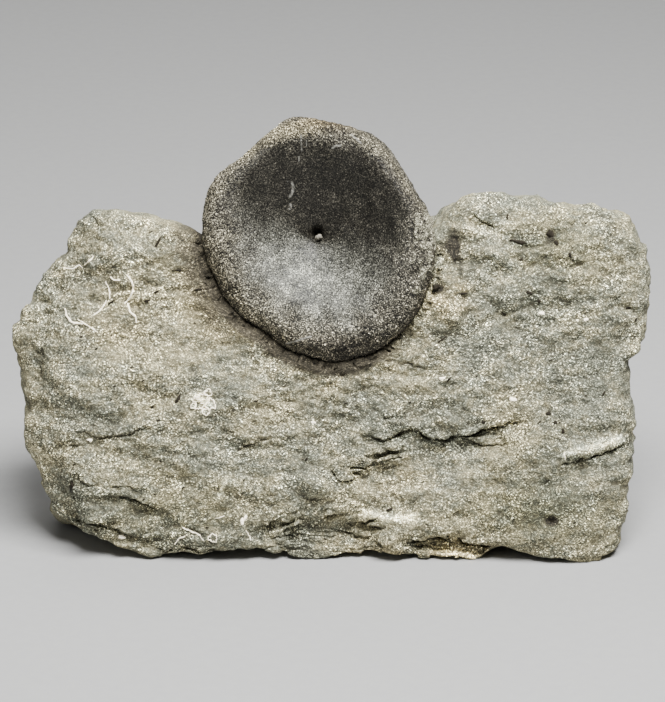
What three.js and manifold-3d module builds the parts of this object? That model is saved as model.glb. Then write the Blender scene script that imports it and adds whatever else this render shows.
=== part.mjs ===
// Ichthyosaur vertebra in its block of grey limestone, standing on its own base.
// Millimetres, +Z up. The broken face with the fossil looks along -Y and leans back.
// "u" runs to the right along the face, "w" runs up its slope from the ground.

import * as THREE from 'three';
import { mergeVertices } from 'three/addons/utils/BufferGeometryUtils.js';
import { ImprovedNoise } from 'three/addons/math/ImprovedNoise.js';
import Module from 'manifold-3d';

// ---- driving dimensions -----------------------------------------------------

const FACE_LEAN = THREE.MathUtils.degToRad(16);
const BASE_DEPTH = 62;            // front to back, at the ground
const BACK_SLOPE = 0.05;          // how fast the back comes forward with height
const HALF_WIDTH = 84;
const FACE_HEIGHT = 97;           // highest point of the block, along the face

const FRONT_ROUND = 3;            // how far the outline draws in at the front edge
const BACK_NARROWING = 12;        // how far the sides draw in at the back
const TOP_FALL = 15;              // how far the top falls away to the back
const EDGE_DROP = 3;              // how far the face rolls off at its border
const BACK_EDGE_DROP = 4;
const BACK_HOLLOW = 3.5;          // broad hollows of the broken back
const GROUND_SINK = 1.2;          // rock worn flat where it stands on the ground
const LEFT_FACET_DROP = 5;        // the left border is broken back as a facet of its own
const LEDGE_SHARPNESS = 2.2;      // width of the step at a broken ledge
const LEDGE_TAPER = 6;            // over how much of its length a ledge starts and ends
const LUMP_HEIGHT = 1.5;          // lumps all over, and smaller ones on them
const SMALL_LUMP_HEIGHT = 0.8;
const FACE_LUMP_SHARE = 0.45;     // the broken face is calmer than the rest
const SIDE_BED_HEIGHT = 2.6;      // how far the beds stand out on the sides
const BACK_BED_HEIGHT = 3.4;

const GRID_ACROSS = 41;
const GRID_DEEP = 8;
const GRID_UP = 25;

const DISC_RADIUS = 30.5;         // radius of the spun profile, before its outline
const DISC_CENTRE = { u: -4.4, w: 86.8 };
const DISC_PROUD = 5.5;           // the rim's crest stands this far off the face
const DISC_LEAN = THREE.MathUtils.degToRad(18.5);
const DISC_TURN = THREE.MathUtils.degToRad(-4);
const DISC_SEGMENTS = 48;
const SOCKET_GAP = 0.35;
const RIM_LUMP_HEIGHT = 0.9;
const LOWER_ROLL = 6.2;           // how far the rim's edge rolls back below
const LEFT_ROLL = 2.2;            // and on the left
const CANAL_WIDTH = 9;            // nerve canal, a shallow groove along the disc's top
const CANAL_DEPTH = 1.4;
const FACET_HEIGHT = 1.3;         // knobs on the disc's sides where the ribs sat
const FACET_SPREAD = 0.2;         // their half-width, as an angle about the disc's axis
const TRENCH_WIDTH = 1.3;         // cleaned-out trench below and left of the rim
const TRENCH_SHIFT = { left: 1.6, down: 0.6 };
const TRENCH_DEPTH = 1.9;

const STONE_GREY = 0xa6a394;
const BONE_BROWN = 0x4c4943;

// ---- helpers ----------------------------------------------------------------

const wasm = await Module();
wasm.setup();
const perlin = new ImprovedNoise();

const smooth = (from, to, x) => THREE.MathUtils.smoothstep(x, from, to);

// A geometry's shared vertices merged, so that it is one closed surface.
function closed(geometry) {
  const g = geometry.clone();
  g.deleteAttribute('normal');
  g.deleteAttribute('uv');
  return mergeVertices(g, 1e-3);
}

function toSolid(geometry) {
  const g = closed(geometry);
  return new wasm.Manifold(new wasm.Mesh({
    numProp: 3,
    vertProperties: new Float32Array(g.attributes.position.array),
    triVerts: new Uint32Array(g.index.array),
  }));
}

function toGeometry(solid) {
  const mesh = solid.getMesh();
  const g = new THREE.BufferGeometry();
  g.setAttribute('position', new THREE.BufferAttribute(mesh.vertProperties, 3));
  g.setIndex(new THREE.BufferAttribute(mesh.triVerts, 1));
  g.computeVertexNormals();
  return g;
}

// Moves every vertex of a geometry to where place(vertex) puts it.
function reshape(geometry, place) {
  const position = geometry.attributes.position;
  const v = new THREE.Vector3();
  for (let i = 0; i < position.count; i++) {
    v.fromBufferAttribute(position, i);
    place(v);
    position.setXYZ(i, v.x, v.y, v.z);
  }
  return geometry;
}

// ---- the block's outline, as [u, w] -------------------------------------------

const outline = (points) => new THREE.CatmullRomCurve3(
  points.map(([u, w]) => new THREE.Vector3(u, 0, w)), false, 'centripetal');

const LEFT_EDGE = outline([
  [-73.4, 8.9], [-77.7, 18.5], [-81.4, 29], [-82, 40], [-83.9, 48.5], [-84.1, 55],
  [-82.9, 64], [-77, 73], [-70.7, 82.5], [-67.5, 88.7],
]);
const TOP_EDGE = outline([
  [-67.5, 88.7], [-61, 91.4], [-47, 91.6], [-41, 89.4], [-34, 85.4], [-20, 80], [0, 78],
  [18, 84], [27, 89], [35, 98], [47, 98.2], [52, 96.6], [60, 94.9], [71, 95.4], [79.5, 91.5],
]);
const RIGHT_EDGE = outline([
  [77, 0.4], [78.5, 10], [78.4, 16], [80.4, 23], [80.6, 40], [78.8, 50],
  [81, 58], [84, 66.5], [84.4, 75.5], [82, 82], [79.5, 91.5],
]);
const BOTTOM_EDGE = outline([
  [-73.4, 8.9], [-64.8, 6.2], [-57, 2.7], [-49, 0.6], [-43, 2.6], [-36, 1.4], [-26, 2.8],
  [-7, 0.4], [4, 0.2], [11, 2.2], [19, 2.8], [28, 0.6], [40, 0.2], [44, 2.4], [50, 1.4], [56, 1.4],
  [66, 0.3], [77, 0.4],
]);

// A point of the face from its shares across and up: a Coons patch on the four edges.
function facePoint(across, up) {
  const bottom = BOTTOM_EDGE.getPointAt(across);
  const top = TOP_EDGE.getPointAt(across);
  const left = LEFT_EDGE.getPointAt(up);
  const right = RIGHT_EDGE.getPointAt(up);
  const ruled = bottom.clone().lerp(top, up).add(left.clone().lerp(right, across));
  const low = BOTTOM_EDGE.getPoint(0).lerp(BOTTOM_EDGE.getPoint(1), across);
  const high = TOP_EDGE.getPoint(0).lerp(TOP_EDGE.getPoint(1), across);
  const p = ruled.sub(low.lerp(high, up));
  return { u: p.x, w: p.z };
}

// ---- relief of the broken face ----------------------------------------------

// Broad swells (height above 0) and hollows (below 0): centre, half-axes, height.
const SWELLS = [
  { u: -57, w: 71, ru: 17, rw: 12, height: -2.6 },
  { u: -52, w: 87, ru: 16, rw: 6, height: 1.6 },
  { u: -22, w: 42, ru: 34, rw: 16, height: 2.2 },
  { u: 60, w: 72, ru: 22, rw: 20, height: 2.4 },
  { u: 33, w: 84, ru: 6, rw: 7, height: -3.2 },
  { u: 38, w: 90, ru: 12, rw: 6, height: 1.8 },
  { u: -4, w: 21, ru: 4, rw: 3.5, height: 1.8 },
  { u: 62, w: 14, ru: 14, rw: 10, height: 1.6 },
  { u: -21, w: 33, ru: 5, rw: 3, height: -1.6 },
  { u: 14, w: 53, ru: 12, rw: 4.5, height: 2.2 },
  { u: 30, w: 77, ru: 7, rw: 13, height: 4.4 },
  { u: 36, w: 0.5, ru: 8, rw: 3.2, height: 3.8 },
];

// Broken ledges: the face steps back below each line, and recovers further down.
const LEDGES = [
  {
    line: [[0, 23.5], [8, 27], [14, 31], [20, 34.5], [29, 33], [38, 35], [52, 39]],
    drop: 4.4, reach: 12,
  },
  { line: [[57, 25.5], [66, 28], [79, 32]], drop: 2.4, reach: 7 },
  { line: [[-64, 19], [-53, 17.6], [-41, 13.5]], drop: 2.1, reach: 7 },
  { line: [[-71, 36], [-61, 33.5], [-50, 35.8]], drop: 1.4, reach: 6 },
  { line: [[-75, 12], [-59, 11], [-50, 6.5], [-36, 4.5], [-23, 4]], drop: 4.5, reach: 8 },
  { line: [[-26, 10], [-10, 10.5], [-2, 13.5], [8, 11.5], [17, 7.5]], drop: 6.5, reach: 7 },
  { line: [[-18, 6.5], [-4, 6.5], [6, 7.5], [16, 4.5]], drop: 3.5, reach: 5 },
  { line: [[18, 6.2], [28, 7], [38, 5.5], [47, 3.2], [56, 3]], drop: 8, reach: 7 },
];

function lineHeight(line, u) {
  const i = Math.min(line.findIndex(([x]) => x >= u), line.length - 1);
  const [[u0, w0], [u1, w1]] = [line[i - 1], line[i]];
  return THREE.MathUtils.mapLinear(u, u0, u1, w0, w1);
}

function ledgeStep({ line, drop, reach }, u, w) {
  const from = line[0][0];
  const to = line[line.length - 1][0];
  if (u <= from || u >= to) return 0;
  const below = lineHeight(line, u) - w;
  const fade = LEDGE_TAPER + 0.8 * Math.max(below, 0);
  const ends = smooth(0, fade, u - from) * smooth(0, fade, to - u);
  const step = smooth(-LEDGE_SHARPNESS / 2, LEDGE_SHARPNESS / 2, below);
  return -drop * ends * step * Math.exp(-Math.max(below, 0) / reach);
}

// How far the face stands out of its plane, towards the viewer.
function faceRelief(u, w) {
  const swell = SWELLS.reduce((sum, s) => {
    const far = ((u - s.u) / s.ru) ** 2 + ((w - s.w) / s.rw) ** 2;
    return sum + s.height * Math.exp(-far);
  }, 0);
  const ledges = LEDGES.reduce((sum, ledge) => sum + ledgeStep(ledge, u, w), 0);
  return swell + ledges;
}

const facePlane = (w) => -BASE_DEPTH / 2 + w * Math.sin(FACE_LEAN);

// ---- the block ----------------------------------------------------------------

// Thin beds show as level steps wherever the rock is broken across them.
function bedding(x, y, z) {
  return perlin.noise(x * 0.03, y * 0.03, z * 0.16 + 7.3) + 0.5 * perlin.noise(x * 0.06, y * 0.06, z * 0.3);
}

// A point of the block, from its shares across, deep and up.
function blockPoint(across, deep, up) {
  const { u, w } = facePoint(across, up);
  const frontRound = 1 - smooth(0, 0.12, deep);
  const backRound = smooth(0.7, 1, deep) ** 2;
  const sideInset = FRONT_ROUND * frontRound + BACK_NARROWING * (0.5 * deep + 0.5 * backRound);
  const topInset = FRONT_ROUND * frontRound + TOP_FALL * deep;
  const x = u * (1 - sideInset / HALF_WIDTH);
  const lift = (BOTTOM_EDGE.getPointAt(across).z + GROUND_SINK) * (1 - up);
  const settled = w - lift * smooth(0.1, 0.4, deep);
  const z = settled * Math.cos(FACE_LEAN) * (1 - topInset / FACE_HEIGHT);

  const border = Math.min(across, 1 - across, up * 0.6 + 0.05, 1 - up);
  const leftFacet = LEFT_FACET_DROP * (1 - smooth(0.01, 0.07, across));
  const roll = EDGE_DROP * (1 - smooth(0, 0.08, border)) + leftFacet;
  const front = facePlane(w) - faceRelief(u, w) + roll;
  const backHollow = BACK_HOLLOW * perlin.noise(x * 0.025 + 4, z * 0.03, 2.5);
  const backEdge = BACK_EDGE_DROP * (1 - smooth(0, 0.1, border));
  const back = BASE_DEPTH / 2 - BACK_SLOPE * w - backEdge + backHollow;
  return new THREE.Vector3(x, THREE.MathUtils.lerp(front, back, deep), z);
}

// Lumps in every direction, and beds that show on the sides and the back.
function roughen(p, across, deep) {
  const lump = (seed) => LUMP_HEIGHT * perlin.noise(p.x * 0.07 + seed, p.y * 0.07, p.z * 0.08 + seed)
    + SMALL_LUMP_HEIGHT * perlin.noise(p.x * 0.19 + seed, p.y * 0.19, p.z * 0.21);
  const bed = bedding(p.x, p.y, p.z);
  const sideways = (2 * across - 1) ** 5;
  const backwards = Math.max(2 * deep - 1, 0) ** 3;
  const share = deep === 0 ? FACE_LUMP_SHARE : 1;
  p.add(new THREE.Vector3(
    share * lump(11.5) + SIDE_BED_HEIGHT * bed * sideways,
    share * lump(3.1) + BACK_BED_HEIGHT * bed * backwards,
    share * lump(23.7)));
  p.z = Math.max(p.z, 0);
}

function blockGeometry() {
  const box = new THREE.BoxGeometry(1, 1, 1, GRID_ACROSS, GRID_DEEP, GRID_UP);
  return reshape(box, (v) => {
    const across = THREE.MathUtils.clamp(v.x + 0.5, 0, 1);
    const up = THREE.MathUtils.clamp(v.z + 0.5, 0, 1);
    const deep = THREE.MathUtils.clamp(v.y + 0.5, 0, 1) ** 1.35;
    v.copy(blockPoint(across, deep, up));
    roughen(v, across, deep);
  });
}

// ---- the vertebra ---------------------------------------------------------------

// The rim's outline about the pit, [right, up], clockwise from the top.
const RIM = new THREE.CatmullRomCurve3([
  [0.4, 30.2], [7, 28.6], [15.5, 25.4], [23, 15.4], [28.1, 7.3], [31, 0.5], [31, -6],
  [27.6, -18.2], [21.3, -26.4], [8.3, -33], [-5.7, -30.6], [-13.5, -25.5], [-21.7, -19.5],
  [-26.5, -11.2], [-29.4, -2], [-28.8, 9], [-26.7, 14.3], [-18.8, 20.9], [-10.3, 28.6], [-7, 30.8],
].map(([u, w]) => new THREE.Vector3(u, 0, w)), true, 'centripetal');

// Half of the disc cut through its axis, [radius, depth behind the rim's crest].
const FRONT_DISH = [
  [0, 12.6], [0.9, 12.3], [1.9, 10.6], [5, 9.5], [10, 7.7], [15, 5.4],
  [19.5, 3.0], [23, 1.2], [25.6, 0.3], [27.4, 0],
];
const SIDE = [[29.2, 0.7], [30.3, 2.2], [30.5, 4.6], [29.8, 8.5], [29.3, 13.5], [29.8, 18.5], [30.5, 22.4]];
const BACK_DISH = [[29.9, 25.4], [27.4, 27], [22, 25], [12, 20.8], [4, 18.2], [0, 17.6]];

// Spins a profile, and trades its circles for the rim's outline towards the edge.
function spunDisc(profile) {
  const lathe = new THREE.LatheGeometry(profile.map(([r, y]) => new THREE.Vector2(r, y)), DISC_SEGMENTS);
  return reshape(lathe, (v) => {
    const r = Math.hypot(v.x, v.z);
    if (r < 1e-6) return;
    const turn = (Math.atan2(v.x, v.z) / (2 * Math.PI) + 1) % 1;
    const rim = RIM.getPointAt(turn);
    const share = smooth(0.25, 0.85, r / DISC_RADIUS);
    const reach = r / DISC_RADIUS;
    v.x = THREE.MathUtils.lerp(v.x, rim.x * reach, share);
    v.z = THREE.MathUtils.lerp(v.z, rim.z * reach, share);
  });
}

// Half-way along the side, an oval knob on each flank: [right, up] of its direction.
const RIB_FACETS = [[-1, 0.34], [-0.97, -0.1], [1, 0.3], [0.98, -0.16]];

// How far the disc's side stands out or in at a vertex, for its groove and knobs.
function sideRelief(v) {
  const middle = smooth(5, 9, v.y) * (1 - smooth(20, 24, v.y));
  const canal = v.z > 0 ? Math.exp(-((v.x / (CANAL_WIDTH / 2)) ** 2)) : 0;
  const facing = new THREE.Vector2(v.x, v.z).normalize();
  const knobs = RIB_FACETS.reduce((sum, [x, z]) => {
    const apart = facing.angleTo(new THREE.Vector2(x, z));
    return sum + Math.exp(-((apart / FACET_SPREAD) ** 2) - ((v.y - 12) / 5) ** 2);
  }, 0);
  return FACET_HEIGHT * knobs - CANAL_DEPTH * canal * middle;
}

// How far the rim's edge is rolled back, most and from further in towards the bottom.
function edgeRoll(v) {
  const r = Math.hypot(v.x, v.z);
  const rim = RIM.getPointAt((Math.atan2(v.x, v.z) / (2 * Math.PI) + 1) % 1).length();
  const below = Math.max(-v.z / r, 0);
  const left = Math.max(-v.x / r, 0);
  const outermost = smooth(0.76 - 0.1 * below, 1.06, r / rim) ** 1.5;
  return (LOWER_ROLL * below + LEFT_ROLL * left) * outermost * (1 - smooth(6, 15, v.y));
}

// A spun profile with the bone's own relief, used for the disc and for its mould.
function boneShape(profile) {
  return reshape(spunDisc(profile), (v) => {
    const r = Math.hypot(v.x, v.z);
    if (r < 1) return;
    const lump = perlin.noise(v.x * 0.13, v.y * 0.13, v.z * 0.13 + 5);
    const uneven = RIM_LUMP_HEIGHT * smooth(10, DISC_RADIUS, r) * lump;
    const grown = 1 + smooth(27, 29, r) * sideRelief(v) / r;
    v.y += edgeRoll(v) + uneven;
    v.x *= grown;
    v.z *= grown;
  });
}

const discGeometry = () => boneShape([...FRONT_DISH, ...SIDE, ...BACK_DISH]);

// The hollow that the disc sits in: open to the front, close to its side and back.
function socketGeometry() {
  const grown = SIDE.map(([r, y]) => [r + 2 * SOCKET_GAP, y]);
  const behind = BACK_DISH.map(([r, y]) => [r && r + SOCKET_GAP, y + 3 * SOCKET_GAP]);
  return boneShape([[0, -40], [DISC_RADIUS + 1, -40], ...grown, ...behind]);
}

// A trench round the lower left of the rim, from the face down to its floor.
function trenchGeometry() {
  const floor = DISC_PROUD + TRENCH_DEPTH;
  const wall = DISC_RADIUS + TRENCH_WIDTH;
  const ring = spunDisc([[0, -40], [wall + 1.5, -40], [wall, floor - 2], [wall - 2, floor], [0, floor]]);
  return reshape(ring, (v) => {
    const shift = smooth(0, wall, Math.hypot(v.x, v.z));
    v.x -= TRENCH_SHIFT.left * shift;
    v.z -= TRENCH_SHIFT.down * shift;
  });
}

// Puts a shape that was modelled about the pit where the vertebra sits in the face.
function discPlacement() {
  const { u, w } = DISC_CENTRE;
  const turn = new THREE.Euler(-DISC_LEAN, 0, DISC_TURN, 'ZXY');
  const outward = new THREE.Vector3(0, -1, 0).applyEuler(turn);
  const seat = new THREE.Vector3(u, facePlane(w), w * Math.cos(FACE_LEAN));
  return { position: seat.addScaledVector(outward, DISC_PROUD), rotation: turn };
}

// ---- cracks and pits cut into the face ----------------------------------------

// A thin wedge driven in along a line of the face: wide at its mouth, closed inside.
function crackGeometry({ line, mouth, depth }) {
  const floorWidth = 0.24;
  const path = new THREE.CatmullRomCurve3(line.map(([u, w]) => {
    const y = facePlane(w) - faceRelief(u, w);
    return new THREE.Vector3(u, y, w * Math.cos(FACE_LEAN));
  }));
  const [first, last] = [path.getPoint(0), path.getPoint(1)];
  const length = last.clone().sub(first).length();
  const wedge = new THREE.BoxGeometry(1, 1, 1, Math.ceil(length / 4), 1, 1);
  return reshape(wedge, (v) => {
    const along = THREE.MathUtils.clamp(v.x + 0.5, 0, 1);
    const inside = v.y > 0;
    const taper = 0.25 + 0.75 * Math.sin(Math.PI * along);
    const p = path.getPointAt(along);
    const half = inside ? floorWidth / 2 : mouth * taper;
    v.set(p.x, p.y + (inside ? depth * taper : -4), p.z + Math.sign(v.z) * half);
  });
}

const CRACKS = [
  { line: [[17, 34.6], [22, 34.4], [29, 33.2], [38, 34.8], [49, 38.4]], mouth: 1.1, depth: 4 },
  { line: [[3, 25.5], [9, 27], [15, 31]], mouth: 0.8, depth: 2.5 },
  { line: [[60, 26.4], [67, 28.2], [75, 31]], mouth: 0.8, depth: 3 },
  { line: [[-60, 18.8], [-53, 17.6], [-45, 14.8]], mouth: 0.7, depth: 2.5 },
  { line: [[-70, 11.6], [-60, 11], [-50, 6.8]], mouth: 0.8, depth: 4 },
  { line: [[-20, 6.8], [-10, 7.2], [0, 6.8]], mouth: 0.7, depth: 3 },
  { line: [[-67, 35.8], [-61, 33.8], [-54, 35]], mouth: 0.6, depth: 2 },
];

const PITS = [
  { u: 56.5, w: 87.4, size: 1.5 },
  { u: 57.2, w: 12.2, size: 1.8 },
  { u: -68, w: 20, size: 1.6 },
];

function pitGeometry({ u, w, size }) {
  const pit = new THREE.IcosahedronGeometry(size, 1).scale(1, 0.8, 0.75);
  pit.translate(u, facePlane(w) - faceRelief(u, w), w * Math.cos(FACE_LEAN));
  return pit;
}

// ---- the two pieces --------------------------------------------------------------

function placed(geometry) {
  const { position, rotation } = discPlacement();
  const matrix = new THREE.Matrix4().makeRotationFromEuler(rotation).setPosition(position);
  return geometry.applyMatrix4(matrix);
}

function matrixMesh() {
  const cuts = [
    placed(socketGeometry()),
    placed(trenchGeometry()),
    ...CRACKS.map(crackGeometry),
    ...PITS.map(pitGeometry),
  ];
  const stone = cuts.reduce((rock, cut) => rock.subtract(toSolid(cut)), toSolid(blockGeometry()));
  const largest = stone.decompose().sort((a, b) => b.volume() - a.volume())[0];
  const material = new THREE.MeshStandardMaterial({ color: STONE_GREY, roughness: 0.95, metalness: 0 });
  const mesh = new THREE.Mesh(toGeometry(largest), material);
  mesh.name = 'matrix';
  return mesh;
}

function vertebraMesh() {
  const material = new THREE.MeshStandardMaterial({ color: BONE_BROWN, roughness: 0.6, metalness: 0 });
  const mesh = new THREE.Mesh(closed(discGeometry()), material);
  const { position, rotation } = discPlacement();
  mesh.position.copy(position);
  mesh.rotation.copy(rotation);
  mesh.name = 'vertebra';
  return mesh;
}

// The origin is the middle of the footprint of the whole fossil, on the ground.
const fossil = new THREE.Group();
fossil.add(matrixMesh(), vertebraMesh());
const extent = new THREE.Box3().setFromObject(fossil, true);
const middle = extent.getCenter(new THREE.Vector3());
fossil.position.set(-middle.x, -middle.y, -extent.min.z);

export default fossil;
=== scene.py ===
import math
import random

import bmesh
import bpy
from bpy.props import FloatProperty, FloatVectorProperty, PointerProperty
from mathutils import Matrix, Vector, noise
from mathutils.bvhtree import BVHTree
from mathutils.kdtree import KDTree


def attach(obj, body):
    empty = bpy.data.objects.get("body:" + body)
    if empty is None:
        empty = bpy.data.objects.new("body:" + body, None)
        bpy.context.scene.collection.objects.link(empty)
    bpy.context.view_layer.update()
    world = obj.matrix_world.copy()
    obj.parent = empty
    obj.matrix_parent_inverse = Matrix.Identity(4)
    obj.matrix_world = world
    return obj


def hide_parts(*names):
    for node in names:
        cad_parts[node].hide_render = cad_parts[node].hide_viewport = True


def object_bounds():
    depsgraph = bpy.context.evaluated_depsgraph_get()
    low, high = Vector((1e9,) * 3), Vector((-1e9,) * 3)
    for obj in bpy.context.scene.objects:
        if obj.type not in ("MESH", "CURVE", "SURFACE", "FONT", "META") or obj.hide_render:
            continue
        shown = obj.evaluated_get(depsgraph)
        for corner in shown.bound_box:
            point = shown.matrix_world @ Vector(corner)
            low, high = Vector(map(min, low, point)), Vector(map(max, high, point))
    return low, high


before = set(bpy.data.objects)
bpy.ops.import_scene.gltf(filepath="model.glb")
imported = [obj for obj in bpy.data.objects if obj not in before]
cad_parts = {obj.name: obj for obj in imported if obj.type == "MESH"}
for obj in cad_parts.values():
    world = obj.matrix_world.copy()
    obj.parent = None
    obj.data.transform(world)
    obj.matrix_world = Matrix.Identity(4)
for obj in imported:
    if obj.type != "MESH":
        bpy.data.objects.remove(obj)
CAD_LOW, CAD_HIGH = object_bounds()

bl_info = {
    "name": "Ichthyosaur Vertebra Fossil",
    "version": (1, 0, 0),
    "blender": (4, 5, 0),
    "location": "View3D > Sidebar > Fossil",
    "description": "Dresses a fossil vertebra and its limestone block",
    "category": "Object",
}

MM = 0.001

# The noise fields shift with this number, and without it with the clock.
NOISE_SEED = 3

# ---- where the face and the disc are -----------------------------------------------------------
# Points on the broken face are (u, w) in millimetres: u to the right, w up its slope.

FACE_LEAN = math.radians(16)
FACE_FOOT_RIGHT = -0.19    # from the middle of the CAD box to the foot of the face's plane
FACE_FOOT_FORWARD = 0.43   # and from the front of the box
FACE_FOOT = Vector((FACE_FOOT_RIGHT * MM, CAD_LOW.y - FACE_FOOT_FORWARD * MM, 0))
FACE_UP = Vector((0, math.sin(FACE_LEAN), math.cos(FACE_LEAN)))
FACE_OUT = Vector((0, -math.cos(FACE_LEAN), math.sin(FACE_LEAN)))

# The middle of the disc's rim on the face, how far the rim stands out of it, and how the disc is
# turned and leaned.
DISC_PLACE = (-4.4, 86.8)
DISC_PROUD = 5.5
DISC_TURN = math.radians(-4)
DISC_LEAN = math.radians(-18.5)
DISC_TURNED = Matrix.Rotation(DISC_TURN, 3, "Z") @ Matrix.Rotation(DISC_LEAN, 3, "X")


def on_face(u, w, out=0.0):
    """The point of the face's plane at (u, w), moved out of it by some millimetres."""
    return FACE_FOOT + (Vector((u, 0, 0)) + FACE_UP * w + FACE_OUT * out) * MM


def face_coords(point):
    """(u, w, out) in millimetres of a point."""
    offset = (point - FACE_FOOT) / MM
    return offset.x, offset.dot(FACE_UP), offset.dot(FACE_OUT)


DISC_CENTRE = on_face(*DISC_PLACE) + DISC_TURNED @ Vector((0, -DISC_PROUD * MM, 0))


def disc_coords(point):
    """(right, behind the rim, up) in millimetres of a point, about the disc's pit."""
    return DISC_TURNED.transposed() @ (point - DISC_CENTRE) / MM


# Directions about the pit, as (right, up): towards the part of the dish lightened as painted sheen,
# the groove darkened by dirt and painted shade, the crest and the pale part of the rim, both
# lightened as painted highlight, and the part where its grain reaches furthest in.
PAINTED_SHEEN_SIDE = Vector((-0.27, -0.963))
MUD_AND_SHADE_SIDE = Vector((-0.6, -0.8))
CREST_SIDE = Vector((-0.37, 0.93))
PALE_HIGHLIGHT_SIDE = Vector((-0.75, -0.66))
GRAINY_SIDE = Vector((-0.8, -0.6))


def smooth(low, high, x):
    """0 below low, 1 above high, and a soft slope between them."""
    t = min(max((x - low) / (high - low), 0.0), 1.0)
    return t * t * (3 - 2 * t)


def mix(a, b, share):
    """From a, at share 0, to b, at share 1."""
    return a + (b - a) * share


# ---- what is broken, cracked and set into the face ---------------------------------------------

# A break: its line, how far the rock steps back below it, and its crack's width and depth.
BREAKS = [
    # the long ledge right of the middle, and the fine cracks that leave it
    ([(9.7, 34.8), (13.1, 33.5), (17.7, 35.0), (20.4, 36.0), (22.7, 35.5), (24.6, 33.7), (30, 33.3),
      (35.2, 34.0), (38.6, 35.4), (43.2, 36.8), (48.7, 38.2)], 2.6, 0.75, 2.6),
    ([(32, 34.2), (35.5, 33.0), (38.6, 31.9), (41.8, 31.6), (45.9, 32.3)], 0.5, 0.4, 1.0),
    ([(13.1, 38.5), (15.7, 39.8)], 0.0, 0.35, 0.8),
    ([(10.4, 29.8), (13.5, 30.6), (18.0, 30.8)], 0.7, 0.4, 1.0),
    ([(11.0, 27.9), (14, 28.0), (17.2, 28.3)], 0.6, 0.4, 1.0),
    ([(11.4, 26.2), (14, 25.8), (17.0, 26.1)], 0.5, 0.35, 0.8),
    ([(-0.9, 25.2), (0.1, 24.9), (0.8, 23.5), (1.8, 22.9), (5.4, 23.3)], 1.0, 0.45, 1.2),
    ([(2.0, 26.6), (5.7, 26.3), (9.6, 27.2)], 0.8, 0.4, 1.0),
    ([(4.1, 24.4), (7.4, 25.6)], 0.4, 0.3, 0.7),
    # right
    ([(59.8, 26.8), (62, 27.1), (64, 27.7), (68.9, 29.1), (72.7, 30.2), (76, 31.7)], 1.5, 0.5, 1.6),
    ([(55.3, 21.8), (57.4, 23.2)], 0.0, 0.3, 0.7),
    ([(59.0, 25.6), (60.8, 26.0)], 0.0, 0.3, 0.6),
    # left, from the top down
    ([(-75.4, 60), (-75.8, 55), (-76.2, 50), (-75.6, 45)], 0.0, 0.8, 0.6),
    ([(-67.3, 35.8), (-64.5, 35.4), (-60.9, 33.8), (-58.1, 34.2), (-54.5, 34.6), (-51.8, 35.6),
      (-49, 37)], 0.9, 0.5, 0.9),
    ([(-70, 32), (-66.5, 31.8)], 0.4, 0.5, 0.6),
    ([(-67.7, 27.6), (-67.9, 26.2), (-68.5, 24.7)], 0.0, 0.45, 1.2),
    ([(-66.5, 24.4), (-65.7, 22.8), (-63.7, 21.2), (-60.9, 22), (-59.3, 22.4)], 0.4, 0.4, 0.9),
    ([(-58, 20.9), (-53.4, 21), (-51.6, 20.2)], 0.5, 0.4, 0.8),
    ([(-61.2, 18.2), (-57.7, 18.6), (-55.4, 18.6), (-52.5, 17.7), (-49, 16.5), (-46.2, 15.1),
      (-43.6, 14.7)], 1.3, 0.5, 1.3),
    ([(-24.7, 30.8), (-20.8, 32.8), (-17.6, 34.4)], 0.7, 0.8, 0.7),
    ([(-41, 32.2), (-38, 33)], 0.3, 0.5, 0.5),
    # lower left border
    ([(-71.5, 11.4), (-66.1, 11.1), (-62.5, 11.5), (-59.3, 10.5), (-56.1, 9.1), (-53, 7.7),
      (-49, 6.6)], 0.6, 0.45, 0.9),
    ([(-70, 10.2), (-64.1, 10.6), (-60.2, 9.4)], 0.0, 0.35, 0.4),
    ([(-48.8, 4.9), (-45.4, 4.1), (-41.4, 4.5), (-37.4, 4.9), (-35.2, 3.9), (-31.5, 3.7), (-26, 3.9),
      (-20.5, 4.2)], 1.6, 0.5, 1.6),
    ([(-38, 10.6), (-35.2, 9.4)], 0.2, 0.4, 0.6),
    # bottom, middle
    ([(-22.4, 10.2), (-17.8, 10.6), (-15.1, 11.6), (-11, 11.4)], 0.4, 0.35, 0.7),
    ([(-12.6, 9.2), (-10.2, 10.6), (-7, 11.1)], 0.3, 0.3, 0.6),
    ([(-3.1, 12.5), (-0.9, 13.4), (2.2, 13.6)], 0.6, 0.5, 1.4),
    ([(6.4, 11.3), (8.7, 10.8), (11.1, 12.2), (12, 13)], 0.5, 0.5, 1.2),
    ([(9.2, 9.9), (12.4, 9.6), (14.8, 10.7)], 0.4, 0.5, 1.2),
    ([(-16.3, 6.9), (-12.8, 7.6), (-8.8, 7.1), (-6.4, 6.9)], 0.4, 0.35, 0.8),
    ([(-16.1, 6), (-12.8, 4.9), (-10.5, 4), (-5.2, 3.6)], 0.6, 0.35, 0.8),
    ([(1.4, 8.8), (5.1, 8.4), (7.7, 7.4), (11.1, 7.4), (12.8, 6.2)], 0.6, 0.45, 1.2),
    # bottom, right: the edge of the overhang, and the thin bed that shows under it
    ([(19, 6.3), (24.7, 6.5), (32.7, 6.9), (34.8, 5.8), (43.5, 4.8), (45.6, 3.7),
      (52.5, 2.6)], 2.5, 0.8, 2.4),
    ([(20, 4.6), (24.3, 4.9), (27, 4.0), (31, 3.1)], 0.8, 0.5, 1.3),
    # round the disc
    ([(1, 53.2), (6, 53.4), (10.5, 54.6), (15.5, 56.6)], 0.0, 0.9, -0.9),
    ([(12, 54.4), (17, 54.2), (24.5, 52.2)], 0.0, 0.6, 0.8),
    ([(36.8, 92.4), (39.4, 90.4), (42.3, 89.5)], 0.6, 0.4, 1.0),
]

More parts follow.
